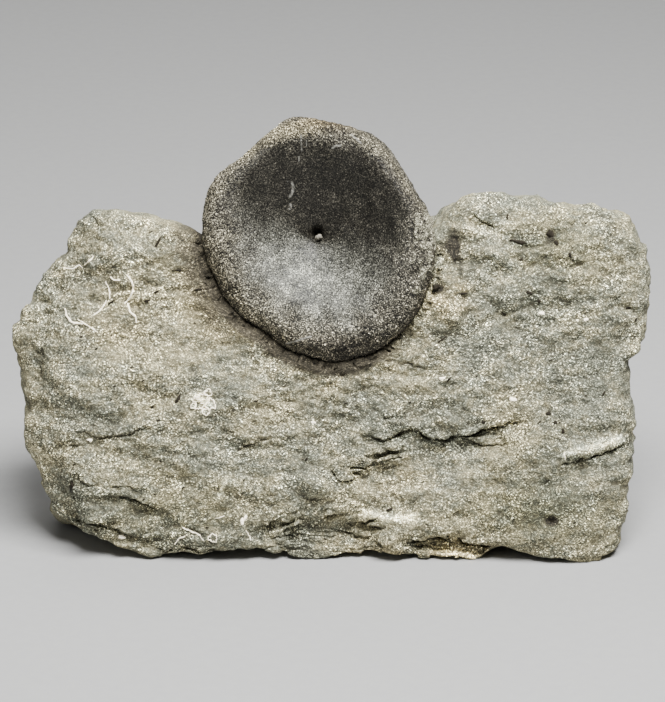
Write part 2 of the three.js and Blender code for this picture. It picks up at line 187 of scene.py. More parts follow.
# A hollow or a bump: centre, half-axes and height.
DENTS = [
    (-68, 20.8, 0.8, 1.6, -1.0), (57.4, 11.9, 2.0, 1.4, -1.1), (56.7, 87.1, 1.3, 1.3, -1.0),
    (58.4, 84.8, 0.6, 0.9, -0.8), (31.6, 84.4, 3.0, 3.4, -0.9), (27.6, 73.8, 1.6, 1.6, -1.0),
    (60.2, 35.6, 0.9, 1.1, -0.6), (43.2, 21.8, 4.0, 1.4, -0.8), (69.3, 21.8, 2.4, 1.4, -0.7),
    (-48.7, 56.9, 0.8, 0.8, -0.8), (77.3, 67.4, 1.4, 1.0, -0.8), (-76, 51, 1.1, 1.6, -1.0),
    (33, 13.5, 1.5, 1.2, -0.6), (43.9, 13.8, 1.4, 1.0, -0.5), (-68.6, 46.8, 2.4, 0.9, -0.6),
    (-4.5, 21.4, 2.6, 2.4, 2.3), (-4.6, 17.6, 2.6, 0.8, -1.0), (63, 29.6, 3.4, 1.3, 0.8),
    (-28.9, 19.2, 0.7, 2.2, 0.5), (-75.5, 68.7, 1.2, 1.0, -0.8), (39.5, 37.9, 0.7, 0.5, -0.5),
    (-35.9, 3.4, 3.0, 1.2, 0.5), (67, 31.4, 8.5, 1.7, 1.0), (51.4, 71.9, 1.6, 0.8, -0.5),
    (-57, 80, 5.0, 2.5, 0.5),
]

# Where thin beds break out as steps: centre, half-axes and step height.
BEDDED = [
    (-2, 4.5, 22, 5.5, 0.85), (14, 28.5, 7, 6, 0.6), (-62, 8, 14, 5, 0.4), (33, 3, 18, 4, 0.9),
    (-38, 4, 14, 3, 0.5), (28, 91, 4, 4, 0.6), (-71, 30, 7, 14, 0.3), (74, 20, 7, 18, 0.3),
]

# Browner spots, above 0, and greyer, darker spots, below 0: centre, half-axes and strength. The
# large grey ones darken the face's lower corners and its upper right.
TONE_SPOTS = [
    (-68, 75, 7, 5, 0.30), (-58, 62, 12, 4, 0.22), (2, 47.5, 18, 4, 0.16), (17, 24, 9, 5, 0.22),
    (33, 82, 8, 10, 0.28), (32, 70, 7, 6, 0.45), (-30, 66, 9, 9, 0.22),
    (-2, 4, 22, 5, 0.2), (33, 3, 20, 4, 0.55), (57, 84, 10, 5, -0.2), (20, 44, 14, 6, -0.2),
    (48, 30, 12, 8, -0.15), (-50, 30, 18, 6, -0.15), (30, 22, 14, 7, 0.16), (69, 22, 5, 4, 0.30),
    (54, 15, 24, 10, -0.75), (-42, 14, 24, 9, -0.5), (60, 80, 18, 13, -0.45), (22, 12, 16, 6, -0.1),
    (-72, 50, 6, 12, 0.10), (-4, 22, 5, 5, -0.1), (-60, 45, 16, 10, -0.12), (66, 55, 14, 12, -0.12),
]

# Where the face is rougher, above 0, or smoother: centre, half-axes and share.
ROUGHER = [
    (-62, 72, 16, 14, 0.4), (6, 46, 30, 8, 0.85), (55, 80, 22, 16, 0.55), (45, 48, 26, 12, -0.6),
    (54, 14, 26, 8, -0.35), (-45, 45, 22, 12, 0.15),
]

# Pale streaked facets and ridges, partly painted highlight where they face the light: their lines
# and their half-width.
PALE_STREAKS_AND_HIGHLIGHTS = [
    ([(60.3, 29.6), (63.5, 30.2), (67.5, 31.2), (71.5, 32.2), (75, 33.4)], 1.3),
    ([(60.6, 28.0), (60.4, 30.6)], 0.5),
    ([(-34.6, 44.6), (-33.2, 43.6), (-31.8, 43.2)], 1.3),
    ([(-27.6, 23.8), (-29.0, 20.5), (-30.3, 17.0)], 0.45),
    ([(8.5, 13.8), (15.2, 12.4), (21.0, 13.0)], 1.2),
    ([(24.5, 4.3), (30, 3.2), (38, 1.8)], 0.7),
]

# Dark hollows, coloured darker with dirt and painted shade: centre, half-axes and strength.
DARKENED_HOLLOWS = [
    (31.5, 84.0, 2.0, 3.0, 1.0), (28.4, 83.6, 2.4, 2.4, 0.2), (33.4, 78.2, 0.9, 3.4, 0.6),
    (27.9, 73.2, 2.0, 1.5, 0.8), (30.5, 88.5, 4.0, 2.2, 0.35), (31.8, 80.0, 0.7, 2.0, 0.5),
    (26.6, 76.0, 1.4, 1.0, 0.5),
    (9.6, 53.6, 2.2, 1.5, 0.4), (-5.5, 51.8, 4.0, 1.2, 0.3), (-18.6, 34.2, 1.7, 0.9, 0.4),
    (33.8, 71.8, 2.6, 0.6, 0.5), (29.0, 60.3, 1.6, 0.8, 0.4), (36.5, 85.5, 1.5, 2.5, 0.3),
    (56.9, 86.4, 1.6, 2.6, 0.7), (-68.0, 20.8, 1.0, 2.2, 0.8), (57.4, 11.9, 2.0, 1.4, 1.0),
]

# Pale scratches on the disc, as (right, up) from its pit, and their width.
SCRATCHES = [
    ([(-6.6, 13.9), (-6.0, 12.7), (-6.2, 11.4), (-6.9, 10.0)], 0.36),
    ([(-7.6, 14.0), (-6.9, 13.9)], 0.22),
    ([(-6.9, 8.0), (-6.5, 7.4), (-7.2, 6.9)], 0.3),
    ([(-3.9, 26.0), (-3.8, 24.2), (-3.75, 22.0)], 0.22),
    ([(-2.4, 25.0), (-2.5, 23.2)], 0.13),
    ([(-4.5, 20.5), (-4.6, 19.2)], 0.15),
    ([(4.2, 22.9), (5.2, 23.5), (6.3, 23.6)], 0.36),
    ([(8.9, 26.5), (10.3, 25.5), (11.6, 24.4)], 0.28),
    ([(-6.9, -28.0), (-3.4, -26.9), (-0.2, -26.0)], 0.25),
]

# Paler, above 0, and darker streaks in the dish: right, up, half-axes and strength.
DISH_STREAKS = [(-7.4, -5.8, 0.8, 2.0, 0.7), (-6.6, -9.2, 0.9, 2.4, 0.35), (9, -8, 4.0, 5.0, -0.1)]

# Bumps and hollows of the disc: right, up, half-axes and height.
DISC_LUMPS = [
    (-2.0, -28.5, 5.0, 2.2, 0.7), (0.5, -25.4, 3.5, 0.8, -0.4), (-17, -21, 4.0, 3.0, 0.5),
    (-20.5, -15.5, 1.6, 3.0, -0.4), (12, -24, 4.5, 2.5, 0.5), (4.0, 27.2, 3.0, 1.2, -0.5),
    (-10, 24.5, 5.0, 1.6, 0.4), (17.5, 18.5, 2.0, 3.5, 0.35), (-26.0, 3.5, 2.2, 4.0, 0.35),
    (26.2, -9.5, 1.6, 1.6, -0.8), (-24.0, -6.5, 1.2, 2.5, -0.35),
]

# Shell sections: their lines and their width. Rings of shell: centre, radius and width. Chalky
# spots: centre and half-axes.
SHELLS = [
    ([(-69.8, 67.6), (-69.2, 65.5), (-67.3, 63.8), (-65, 63.7)], 0.55),
    ([(-66.4, 64.9), (-64, 63.4), (-61.2, 61.5)], 0.4),
    ([(-62.2, 66.0), (-60.2, 67.5), (-58.9, 69.6)], 0.4),
    ([(-59.3, 74.7), (-58.1, 72.1), (-58.1, 69.9)], 0.35),
    ([(-57.9, 76.1), (-56.6, 75.1), (-55.2, 75.1)], 0.4),
    ([(-53.5, 76.6), (-52.1, 74.5), (-52.0, 72.2), (-53.2, 69.9), (-54.2, 68.7)], 0.5),
    ([(-53.4, 69.0), (-52.8, 66.8), (-51.3, 65.4), (-51.2, 63.6)], 0.55),
    ([(-70.5, 77.8), (-67.8, 77.6), (-66.3, 78.6), (-65.3, 77.8)], 0.3),
    ([(-65, 78.6), (-63.3, 80.0), (-62.2, 81.4)], 0.35),
    ([(-39.2, 10.4), (-37, 9.2), (-35.2, 8.4), (-33.6, 6.6)], 0.35),
    ([(-41.4, 5.6), (-40, 7.2), (-38.6, 7.9)], 0.35),
    ([(-22.5, 9.4), (-21.9, 8.1), (-21.3, 6.6)], 0.3),
    ([(60.4, 30.2), (60.7, 29.0), (60.9, 27.8)], 0.4),
    ([(-30.6, 12.6), (-28.2, 13.2)], 0.25),
    ([(-22.4, 13.4), (-23.3, 12.0), (-23.6, 10.8)], 0.8),
]
SHELL_RINGS = [
    (-31.3, 7.3, 1.15, 0.34), (-33.9, 44.8, 1.1, 0.4), (-31.6, 43.0, 1.3, 0.46),
    (-34.6, 42.8, 1.0, 0.36), (-32.3, 46.0, 0.9, 0.36), (-35.5, 44.2, 0.7, 0.34),
    (-33.0, 41.0, 0.8, 0.36), (-36.2, 42.6, 0.6, 0.3),
]
CHALK_SPOTS = [
    (-55.4, 7.3, 1.0, 0.6), (-23.5, 12.1, 0.55, 1.0), (47.2, 44.0, 0.9, 0.5),
    (-63.3, 33.2, 0.8, 0.5), (28.5, 49.6, 0.8, 0.4), (54.5, 66.8, 0.8, 0.5), (66, 65, 0.7, 0.5),
    (-5, 38, 0.6, 0.4),
]

# Dark plant and scale flecks: centre, length, width, and turn in degrees.
FLECKS = [
    (-45.9, 84.0, 6.0, 0.5, 62), (-40.2, 77.7, 2.2, 0.45, 0), (-57.4, 69.4, 1.7, 0.4, 35),
    (-48.2, 69.7, 1.5, 0.7, 10), (-45.9, 72.0, 1.2, 0.5, 30), (-40.2, 44.2, 2.2, 0.75, 58),
    (-35.9, 63.9, 0.7, 0.5, 0), (-34.4, 72.7, 3.6, 0.3, 4), (48.7, 85.2, 3.2, 0.7, -14),
    (56.4, 87.6, 2.0, 2.6, 25), (58.3, 84.6, 0.9, 2.0, 15), (45.5, 91.5, 0.5, 1.3, 0),
    (61.7, 81.8, 0.8, 1.0, 20), (51.2, 72.1, 1.8, 0.6, -35), (53.9, 69.9, 0.9, 0.7, 0),
    (44.7, 66.5, 1.7, 0.35, -35), (49.1, 80.6, 1.0, 0.4, 20), (77.3, 67.8, 2.0, 0.7, 20),
    (79.2, 64.6, 1.0, 0.8, 40), (28.9, 60.0, 2.4, 0.4, 35), (30.4, 49.4, 1.6, 0.35, 50),
    (33.5, 71.9, 3.0, 0.4, 0), (27.2, 73.8, 1.7, 0.8, 30), (56.2, 40.1, 1.7, 1.1, -10),
    (58.3, 38.0, 1.0, 0.7, 0), (60.2, 35.6, 0.9, 1.3, -10), (57.4, 11.9, 3.4, 1.8, -25),
    (39.5, 37.9, 0.8, 0.7, 0), (-68.0, 20.9, 0.8, 2.6, 8), (-67.7, 17.9, 0.5, 0.7, 0),
    (3.5, 43.2, 1.3, 0.3, 15), (63.5, 61.0, 1.2, 0.3, -20), (71, 45.5, 1.1, 0.4, 60),
    (69.2, 62, 1.0, 0.3, 75), (15, 14.8, 1.4, 0.5, 15), (37.5, 49.8, 0.9, 0.35, 40),
    (-12.5, 47.6, 0.8, 0.3, 25), (-52.2, 52.4, 0.9, 0.3, 10), (-46.8, 42.2, 1.3, 0.3, 5),
    (-61.5, 57.2, 0.8, 0.3, 30), (-23, 23, 0.9, 0.3, 50), (66, 90, 0.7, 0.3, 20),
]
RING_STEPS = 24
SCATTERED_FLECKS = 90
SCATTER_SEED = 11
SCATTER_ACROSS = (-78, 78)
SCATTER_UP = (4, 92)
SCATTER_CLEAR = 36         # no scattered fleck comes nearer than this to the disc's middle

# The rock touches the disc where it comes this close, and stays away past the reach.
LAP_GAP = 0.05
LAP_CLOSE = 0.9
LAP_REACH = 2.0

# Mud fills the groove that follows the disc at its lower left: how high at the disc, how far from
# it, how far behind the rim's crest the disc's side is measured, and where the filling and the
# darkening round the disc, dirt and painted shade, end.
MUD_FILL = 0.9
MUD_REACH = 3.0
MUD_LEVEL = 9.0
MUD_END = 14.0

RAY_START = 40             # rays towards the face start this far out of its plane
BREAK_REACH = 3.2          # how far from its line a break changes the rock
BED_HEIGHT = 1.45          # of the thin beds on the face
SIDE_BED_HEIGHT = 3.4      # of the thicker beds on the sides and back
FACE_DEPTH = 16            # the face's finer cells reach this far behind its plane
DISC_RELAXING = 14         # how many times the disc's facets are smoothed, and the block's
BLOCK_RELAXING = 3
REFINED_RADIUS = 16.5      # the rim's cells are finer outside this radius
REFINED_DEPTH = 9.5        # and no further behind its crest than this

# The grain in the disc's pit: its place as (right, behind, up), and its half-axes.
PLUG_SEAT = (0.5, 10.6, -0.5)
PLUG_HALF = (0.8, 0.6, 0.55)

# On the disc, centre and half-axes: the rusty part of its top edge, and the shadow above its pit.
RUSTY = (7, 30.5, 11, 2.6)
PIT_SHADOW = (0, 2.6, 3.4, 4.2)

# How much the painted highlight lightens the rim's crest, upper lip and pale lower left.
PAINTED_HIGHLIGHT_GAIN = (2.2, 2.1, 1.8, 1.0)
SCRATCH_COLOUR = (0.34, 0.33, 0.29, 1.0)

# ---- settings that a user may change -----------------------------------------------------------


def size_prop(name, description, millimetres):
    """A length that a user may change."""
    length = millimetres * MM
    return FloatProperty(
        name=name, description=description, default=length, min=0, unit="LENGTH", precision=5
    )


def colour_prop(name, description, rgb):
    """A colour that a user may change."""
    return FloatVectorProperty(
        name=name, description=description, default=rgb, subtype="COLOR", min=0, max=1
    )


def power_prop(name, description, watts):
    """A light's power that a user may change."""
    return FloatProperty(name=name, description=description, default=watts, min=0, unit="POWER")


class LimestoneSettings(bpy.types.PropertyGroup):
    """The block's relief and colours."""

    cell: size_prop("Cell", "Size of the mesh cells before the face is refined", 1.3)
    relief: size_prop("Relief", "Height of the rock's lumps on the back and sides", 0.9)
    face_relief: size_prop("Face relief", "Height of the lumps on the broken face", 0.78)
    speckle: size_prop("Speckle", "Size of the finest grains of colour", 0.29)
    grain_bump: size_prop("Grain", "Depth of the finest roughness", 0.34)
    cool: colour_prop("Cool grey", "The greyer rock", (0.207, 0.213, 0.158))
    warm: colour_prop("Warm grey", "The creamier rock", (0.252, 0.228, 0.138))
    brown: colour_prop("Brown", "Rusty stains", (0.30, 0.25, 0.175))
    # This colour darkens the groove round the disc, the cracks and the hollows: dirt and painted
    # shade.
    mud_and_shade: colour_prop("Mud", "Dirt in the cracks and round the disc", (0.060, 0.052, 0.035))


class BoneSettings(bpy.types.PropertyGroup):
    """The disc's grain and colours."""

    cell: size_prop("Cell", "Size of the mesh cells", 0.57)
    grain_height: size_prop("Grain height", "How far the rim's grains stand up", 0.26)
    grain: size_prop("Grain", "Size of the open grain of the rim", 0.52)
    grain_bump: size_prop("Grain depth", "Depth of the finest roughness", 0.5)
    dish: colour_prop("Dish", "The smooth dish", (0.0165, 0.0152, 0.0118))
    # The lower half of the dish is lightened to this colour as painted sheen.
    painted_sheen: colour_prop("Sheen_painted dish", "The lower half of the dish", (0.080, 0.080, 0.066))
    rim: colour_prop("Rim", "The open-grained rim", (0.104, 0.096, 0.072))
    # Where the rim rolls back below it is darkened to this colour: painted shade and dirt.
    rim_shade_and_dirt: colour_prop("Rim's edge", "Where the rim rolls back below", (0.056, 0.048, 0.034))
    rust: colour_prop("Rust", "The browner part of the top edge", (0.78, 0.64, 0.42))
    crumbs: colour_prop("Crumbs", "Rock left on the right of the rim", (0.190, 0.180, 0.130))


class StageSettings(bpy.types.PropertyGroup):
    """Floor, light and camera."""

    floor: colour_prop("Floor", "The floor's colour", (0.33, 0.33, 0.325))
    key_power: power_prop("Key light", "Power of the main light", 16)
    fill_power: power_prop("Fill light", "Power of the fill from the left", 0.8)
    back_power: power_prop("Back light", "Power of the light behind the fossil", 2.5)
    sky: FloatProperty(
        name="Sky", description="Strength of the light from all round", default=0.10, min=0
    )
    distance: size_prop("Distance", "From the camera to the fossil", 1100)


# ---- mesh tools --------------------------------------------------------------------------------


def add_object(name, mesh):
    """A new object of the scene with that mesh."""
    piece = bpy.data.objects.new(name, mesh)
    bpy.context.scene.collection.objects.link(piece)
    return piece


def merged_copy(node, name):
    """A copy of a CAD node, with its loose triangles merged into one surface."""
    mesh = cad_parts[node].data.copy()
    mesh.name = name
    mesh.materials.clear()
    bm = bmesh.new()
    bm.from_mesh(mesh)
    bmesh.ops.remove_doubles(bm, verts=bm.verts, dist=0.002 * MM)
    bm.to_mesh(mesh)
    bm.free()
    return add_object(name, mesh)


def remeshed(piece, cell):
    """The piece's surface laid out anew in even square cells."""
    modifier = piece.modifiers.new("cells", "REMESH")
    modifier.mode = "VOXEL"
    modifier.voxel_size = cell
    modifier.use_smooth_shade = True
    evaluated = piece.evaluated_get(bpy.context.evaluated_depsgraph_get())
    mesh = bpy.data.meshes.new_from_object(evaluated)
    piece.modifiers.clear()
    old = piece.data
    piece.data = mesh
    bpy.data.meshes.remove(old)
    mesh.name = piece.name
    bm = bmesh.new()
    bm.from_mesh(mesh)
    return bm


def relax(bm, times):
    """Moves every vertex half-way to the middle of its neighbours, a number of times."""
    for _ in range(times):
        bmesh.ops.smooth_vert(
            bm, verts=bm.verts, factor=0.5, use_axis_x=True, use_axis_y=True, use_axis_z=True
        )
    bm.normal_update()


def refine(bm, wanted):
    """Cuts every wanted face into four."""
    edges = dict.fromkeys(edge for face in bm.faces if wanted(face) for edge in face.edges)
    bmesh.ops.subdivide_edges(bm, edges=list(edges), cuts=1, use_grid_fill=True)
    bm.normal_update()


def finish_mesh(bm, piece, attributes):
    """Writes the bmesh and its named numbers per vertex to the piece, shaded smooth."""
    bmesh.ops.triangulate(bm, faces=bm.faces)
    bmesh.ops.recalc_face_normals(bm, faces=bm.faces)
    for face in bm.faces:
        face.smooth = True
    bm.to_mesh(piece.data)
    bm.free()
    for name, values in attributes.items():
        attribute = piece.data.attributes.new(name, "FLOAT", "POINT")
        attribute.data.foreach_set("value", values)


def hollowness(bm, reach):
    """How far each vertex lies below its neighbours, from -1 on an edge to 1 in a crevice."""
    values = []
    for vert in bm.verts:
        around = [edge.other_vert(vert).co for edge in vert.link_edges]
        middle = sum(around, Vector()) / len(around)
        values.append(max(-1.0, min(1.0, (middle - vert.co).dot(vert.normal) / reach)))
    return values


def inside_cad(place):
    """The place, moved into the CAD model's box if it is outside."""
    return Vector(min(max(c, low), high) for c, low, high in zip(place, CAD_LOW, CAD_HIGH))


def dress(piece, material):
    """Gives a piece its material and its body."""
    piece.data.materials.append(material)
    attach(piece, "root")


# ---- node tools --------------------------------------------------------------------------------

STROKE_STRETCH = (0.42, 0.9, 1.45)


def add_node(tree, kind, inputs=None, **settings):
    """A node with those settings, its inputs linked to sockets or set to values."""
    node = tree.nodes.new(kind)
    for name, value in settings.items():
        setattr(node, name, value)
    for name, value in (inputs or {}).items():
        if isinstance(value, bpy.types.NodeSocket):
            tree.links.new(value, node.inputs[name])
        else:
            node.inputs[name].default_value = value
    return node


def math_node(tree, operation, a, b=0.0, clamp=False):
    """The result of one operation on a and b."""
    node = add_node(tree, "ShaderNodeMath", {0: a, 1: b}, operation=operation, use_clamp=clamp)
    return node.outputs[0]


def blend_colours(tree, share, a, b, mode="MIX"):
    """Colour a with colour b laid over it by that share."""
    node = add_node(tree, "ShaderNodeMix", {0: share, 6: a, 7: b}, data_type="RGBA", blend_type=mode)
    return node.outputs[2]


def spread(tree, value, low, high):
    """value, with low to high stretched to 0 to 1."""
    ends = {"Value": value, "From Min": low, "From Max": high}
    node = add_node(tree, "ShaderNodeMapRange", ends, interpolation_type="SMOOTHSTEP")
    return node.outputs["Result"]


def lumps(tree, coords, size, detail=2.0, roughness=0.5, offset=0.0, swirl=0.0):
    """Noise with lumps of about that size in metres."""
    shift = (offset, offset * 0.7, offset * 1.3)
    moved = add_node(tree, "ShaderNodeVectorMath", {0: coords, 1: shift}, operation="ADD")
    inputs = {
        "Vector": moved.outputs[0],
        "Scale": 1 / size,
        "Detail": detail,
        "Roughness": roughness,
        "Distortion": swirl,
    }
    return add_node(tree, "ShaderNodeTexNoise", inputs).outputs[0]


def weighted(tree, parts):
    """The sum of values, each times its weight; a weight on its own is added as it is."""
    total = 0.0
    for value, weight in parts:
        part = weight if value is None else math_node(tree, "MULTIPLY", value, weight)
        total = part if total == 0.0 else math_node(tree, "ADD", total, part)
    return total


def grey_colour(tree, value):
    """A grey as bright as the value."""
    return add_node(tree, "ShaderNodeCombineColor", {0: value, 1: value, 2: value}).outputs[0]


def attribute_value(tree, name):
    """One of the numbers that the mesh carries per vertex."""
    return add_node(tree, "ShaderNodeAttribute", attribute_name=name).outputs["Fac"]


def new_material(name, roughness, specular):
    """A material, its node tree and its shader."""
    material = bpy.data.materials.new(name)
    material.use_nodes = True
    shader = material.node_tree.nodes["Principled BSDF"]
    shader.inputs["Specular IOR Level"].default_value = specular
    shader.inputs["Roughness"].default_value = roughness
    return material, material.node_tree, shader


def object_coords(tree, stretch, turn=0.0):
    """Object coordinates, turned about Y by some degrees and then stretched."""
    source = add_node(tree, "ShaderNodeTexCoord").outputs["Object"]
    angle = {"Vector": source, "Angle": math.radians(turn)}
    turned = add_node(tree, "ShaderNodeVectorRotate", angle, rotation_type="Y_AXIS").outputs[0]
    return add_node(tree, "ShaderNodeMapping", {"Vector": turned, "Scale": stretch}).outputs[0]


def strokes(tree, size, turns):
    """Short bright strokes, laid across each other in the given directions."""
    layers = []
    for turn in turns:
        coords = object_coords(tree, STROKE_STRETCH, turn)
        layers.append(lumps(tree, coords, size, 1, 0.6, turn / 9))
    return math_node(tree, "MAXIMUM", *layers)


def grained(tree, colour, shade):
    """The colour, made lighter and darker by the shade."""
    return blend_colours(tree, 1.0, colour, shade, "MULTIPLY")


def set_bump(tree, shader, height, distance, strength=1.0):
    """Raises the surface where height is 1, by that distance."""
    inputs = {"Height": height, "Distance": distance, "Strength": strength}
    bump = add_node(tree, "ShaderNodeBump", inputs)
    tree.links.new(bump.outputs[0], shader.inputs["Normal"])


def scaled(rgb, by=1.0):
    """The colour with its brightness multiplied, as a socket takes it."""
    return tuple(min(channel * by, 1.0) for channel in rgb) + (1.0,)


# ---- points and lines --------------------------------------------------------------------------


def catmull_rom(points, step):
    """Evenly spaced points, about a step apart, on a smooth line through the given ones."""
    padded = [points[0]] + list(points) + [points[-1]]
    line = []
    for a, b, c, d in zip(padded, padded[1:], padded[2:], padded[3:]):
        a, b, c, d = Vector(a), Vector(b), Vector(c), Vector(d)
        count = max(1, round((c - b).length / step))
        for i in range(count):
            t = i / count
            square = (2 * a - 5 * b + 4 * c - d) * t * t
            cube = (3 * b - a - 3 * c + d) * t ** 3
            line.append(0.5 * (2 * b + (c - a) * t + square + cube))
    line.append(Vector(points[-1]))
    return line


def point_finder(points):
    """A tree that looks up which of the points is nearest to a place."""
    finder = KDTree(len(points))
    for i, point in enumerate(points):
        finder.insert(point, i)
    finder.balance()
    return finder


def nearness(x, y, spot):
    """1 in the middle of an oval spot, falling smoothly to 0 well outside it."""
    centre_x, centre_y, half_x, half_y = spot[:4]
    return math.exp(-((x - centre_x) / half_x) ** 2 - ((y - centre_y) / half_y) ** 2)


def all_spots(x, y, spots):
    """What oval spots, each with a strength, add up to at a place."""
    return sum(spot[4] * nearness(x, y, spot) for spot in spots)


def collect(attributes, marks):
    """Adds one vertex's numbers to the lists of them all."""
    for name, value in marks.items():
        attributes.setdefault(name, []).append(value)


class DrawnLines:
    """Lines with widths of their own, ready to be asked how close a place is to one."""

    def __init__(self, lines, step):
        spots = [(spot, width) for points, width in lines for spot in catmull_rom(points, step)]
        self.widths = [width for _, width in spots]
        self.finder = point_finder([(*spot, 0) for spot, _ in spots])

    def closeness(self, x, y):
        """1 on a line, falling smoothly to 0 beside it."""
        _, i, gap = self.finder.find((x, y, 0))
        return math.exp(-((gap / self.widths[i]) ** 2))


class BreakLines:
    """All the breaks of the face, ready to be asked which one is nearest."""

    STEP = 0.25

    def __init__(self):
        self.samples = []
        for index, (points, step_back, width, depth) in enumerate(BREAKS):
            line = [self.ragged(p, index) for p in catmull_rom(points, self.STEP)]
            for i, point in enumerate(line):
                along = (line[min(i + 1, len(line) - 1)] - line[max(i - 1, 0)]).normalized()
                if along.x < 0:
                    along = -along
                across = Vector((-along.y, along.x))
                taper = math.sin(math.pi * (i + 1) / (len(line) + 1)) ** 0.5
                uneven = noise.noise(Vector((point.x / 3.1, point.y / 3.1, index)))
                taper *= min(1.0, max(0.15, 0.8 + 1.3 * uneven))
                self.samples.append((point, across, taper, step_back, width, depth))
        self.finder = point_finder([(*sample[0], 0) for sample in self.samples])

    @staticmethod
    def ragged(point, index):
        """The point of a break's line, moved a little to the side."""
        wobble = noise.noise_vector(Vector((point.x / 1.9, point.y / 1.9, index * 3.7)))
        jitter = noise.noise_vector(Vector((point.x / 0.7, point.y / 0.7, index * 5.1)))
        return point + Vector((wobble.x, wobble.y)) * 0.5 + Vector((jitter.x, jitter.y)) * 0.25

    def nearest(self, u, w):
        """(distance, how far below the line, its sample) for a place on the face."""
        _, i, distance = self.finder.find((u, w, 0))
        sample = self.samples[i]
        below = -(Vector((u, w)) - sample[0]).dot(sample[1])
        return distance, below, sample


# ---- the limestone block -----------------------------------------------------------------------


class FaceSurface:
    """Looks up how far out the face stands, as it was before any carving."""

    def __init__(self, bm):
        self.tree = BVHTree.FromBMesh(bm)

    def out(self, u, w):
        """How far out of its plane the face stands at (u, w), or None beside the block."""
        hit = self.tree.ray_cast(on_face(u, w, RAY_START), -FACE_OUT)[0]
        return None if hit is None else face_coords(hit)[2]


def carve_break(u, w, out, lines, surface):
    """How far the rock moves out at (u, w) for the break near it, and how dark its crack is."""
    distance, below, (point, across, taper, step_back, width, depth) = lines.nearest(u, w)
    if distance > BREAK_REACH:
        return 0.0, 0.0
    moved = 0.0
    if step_back:
        above_out = surface.out(*(point + across * BREAK_REACH))
        below_out = surface.out(*(point - across * BREAK_REACH))
        if above_out is not None and below_out is not None:
            window = 1 - smooth(0.55 * BREAK_REACH, BREAK_REACH, distance)
            drop = max(above_out - below_out, step_back)
            level = mix(above_out, above_out - drop, smooth(-0.1, 0.25, below))
            moved = (level - out) * (window * taper)
    # The crack is darkened just below the break's line, under its step: dirt and painted shade.
    crack = math.exp(-((below - 0.35 * width) / (0.5 * width)) ** 2) * taper
    crack *= 1 - smooth(0.9 * width, 1.8 * width, distance)
    return moved - 0.8 * depth * crack, crack if depth > 0 else 0.0


def bedding_steps(u, w):
    """Thin beds with broken edges: out slowly, then back at once, going down."""
    wave = 1.3 * noise.noise(Vector((u / 9, w / 9, 2.2)))
    ripple = 0.5 * noise.noise(Vector((u / 3, w / 3, 8)))
    level = (w + wave + 0.05 * u + ripple) / BED_HEIGHT
    bed = math.floor(level)
    share = 1 - (level - bed)
    patchy = smooth(-0.15, 0.35, noise.noise(Vector((u / 5.5, bed * 3.1, 5.0))))
    return (share ** 2 - 0.45) * patchy, patchy * smooth(0.86, 1.0, share)


def rock_lumps(point, fine):
    """How far broken rock stands out at a point, about -1 to 1, with a share of fine lumps."""
    flat = Vector((point.x * 0.8, point.y * 0.8, point.z * 1.3))
    broad = noise.noise(flat / 11)
    middle = noise.noise(flat / 4.6 + Vector((7, 0, 3)))
    small = noise.noise(flat / 1.9 + Vector((0, 9, 1)))
    tiny = noise.noise(flat / 1.15 + Vector((4, 2, 6)))
    near = noise.voronoi(flat / 5.2)[1][0]
    chip = noise.cell_vector(near * 7.7).dot(flat / 5.2 - near)
    return 1.6 * broad + 1.2 * middle + fine * (0.55 * small + 0.25 * tiny) + 0.6 * chip


def side_beds(point):
    """Level beds on the broken sides and back, about -1 to 1."""
    level = (point.z + 2.5 * noise.noise(point / 22)) / SIDE_BED_HEIGHT
    bed = math.floor(level)
    share = level - bed
    jut = noise.noise(Vector((point.x / 14, point.y / 14, bed * 5.3)))
    return jut + 0.35 * (smooth(0.0, 0.25, share) - smooth(0.8, 1.0, share))


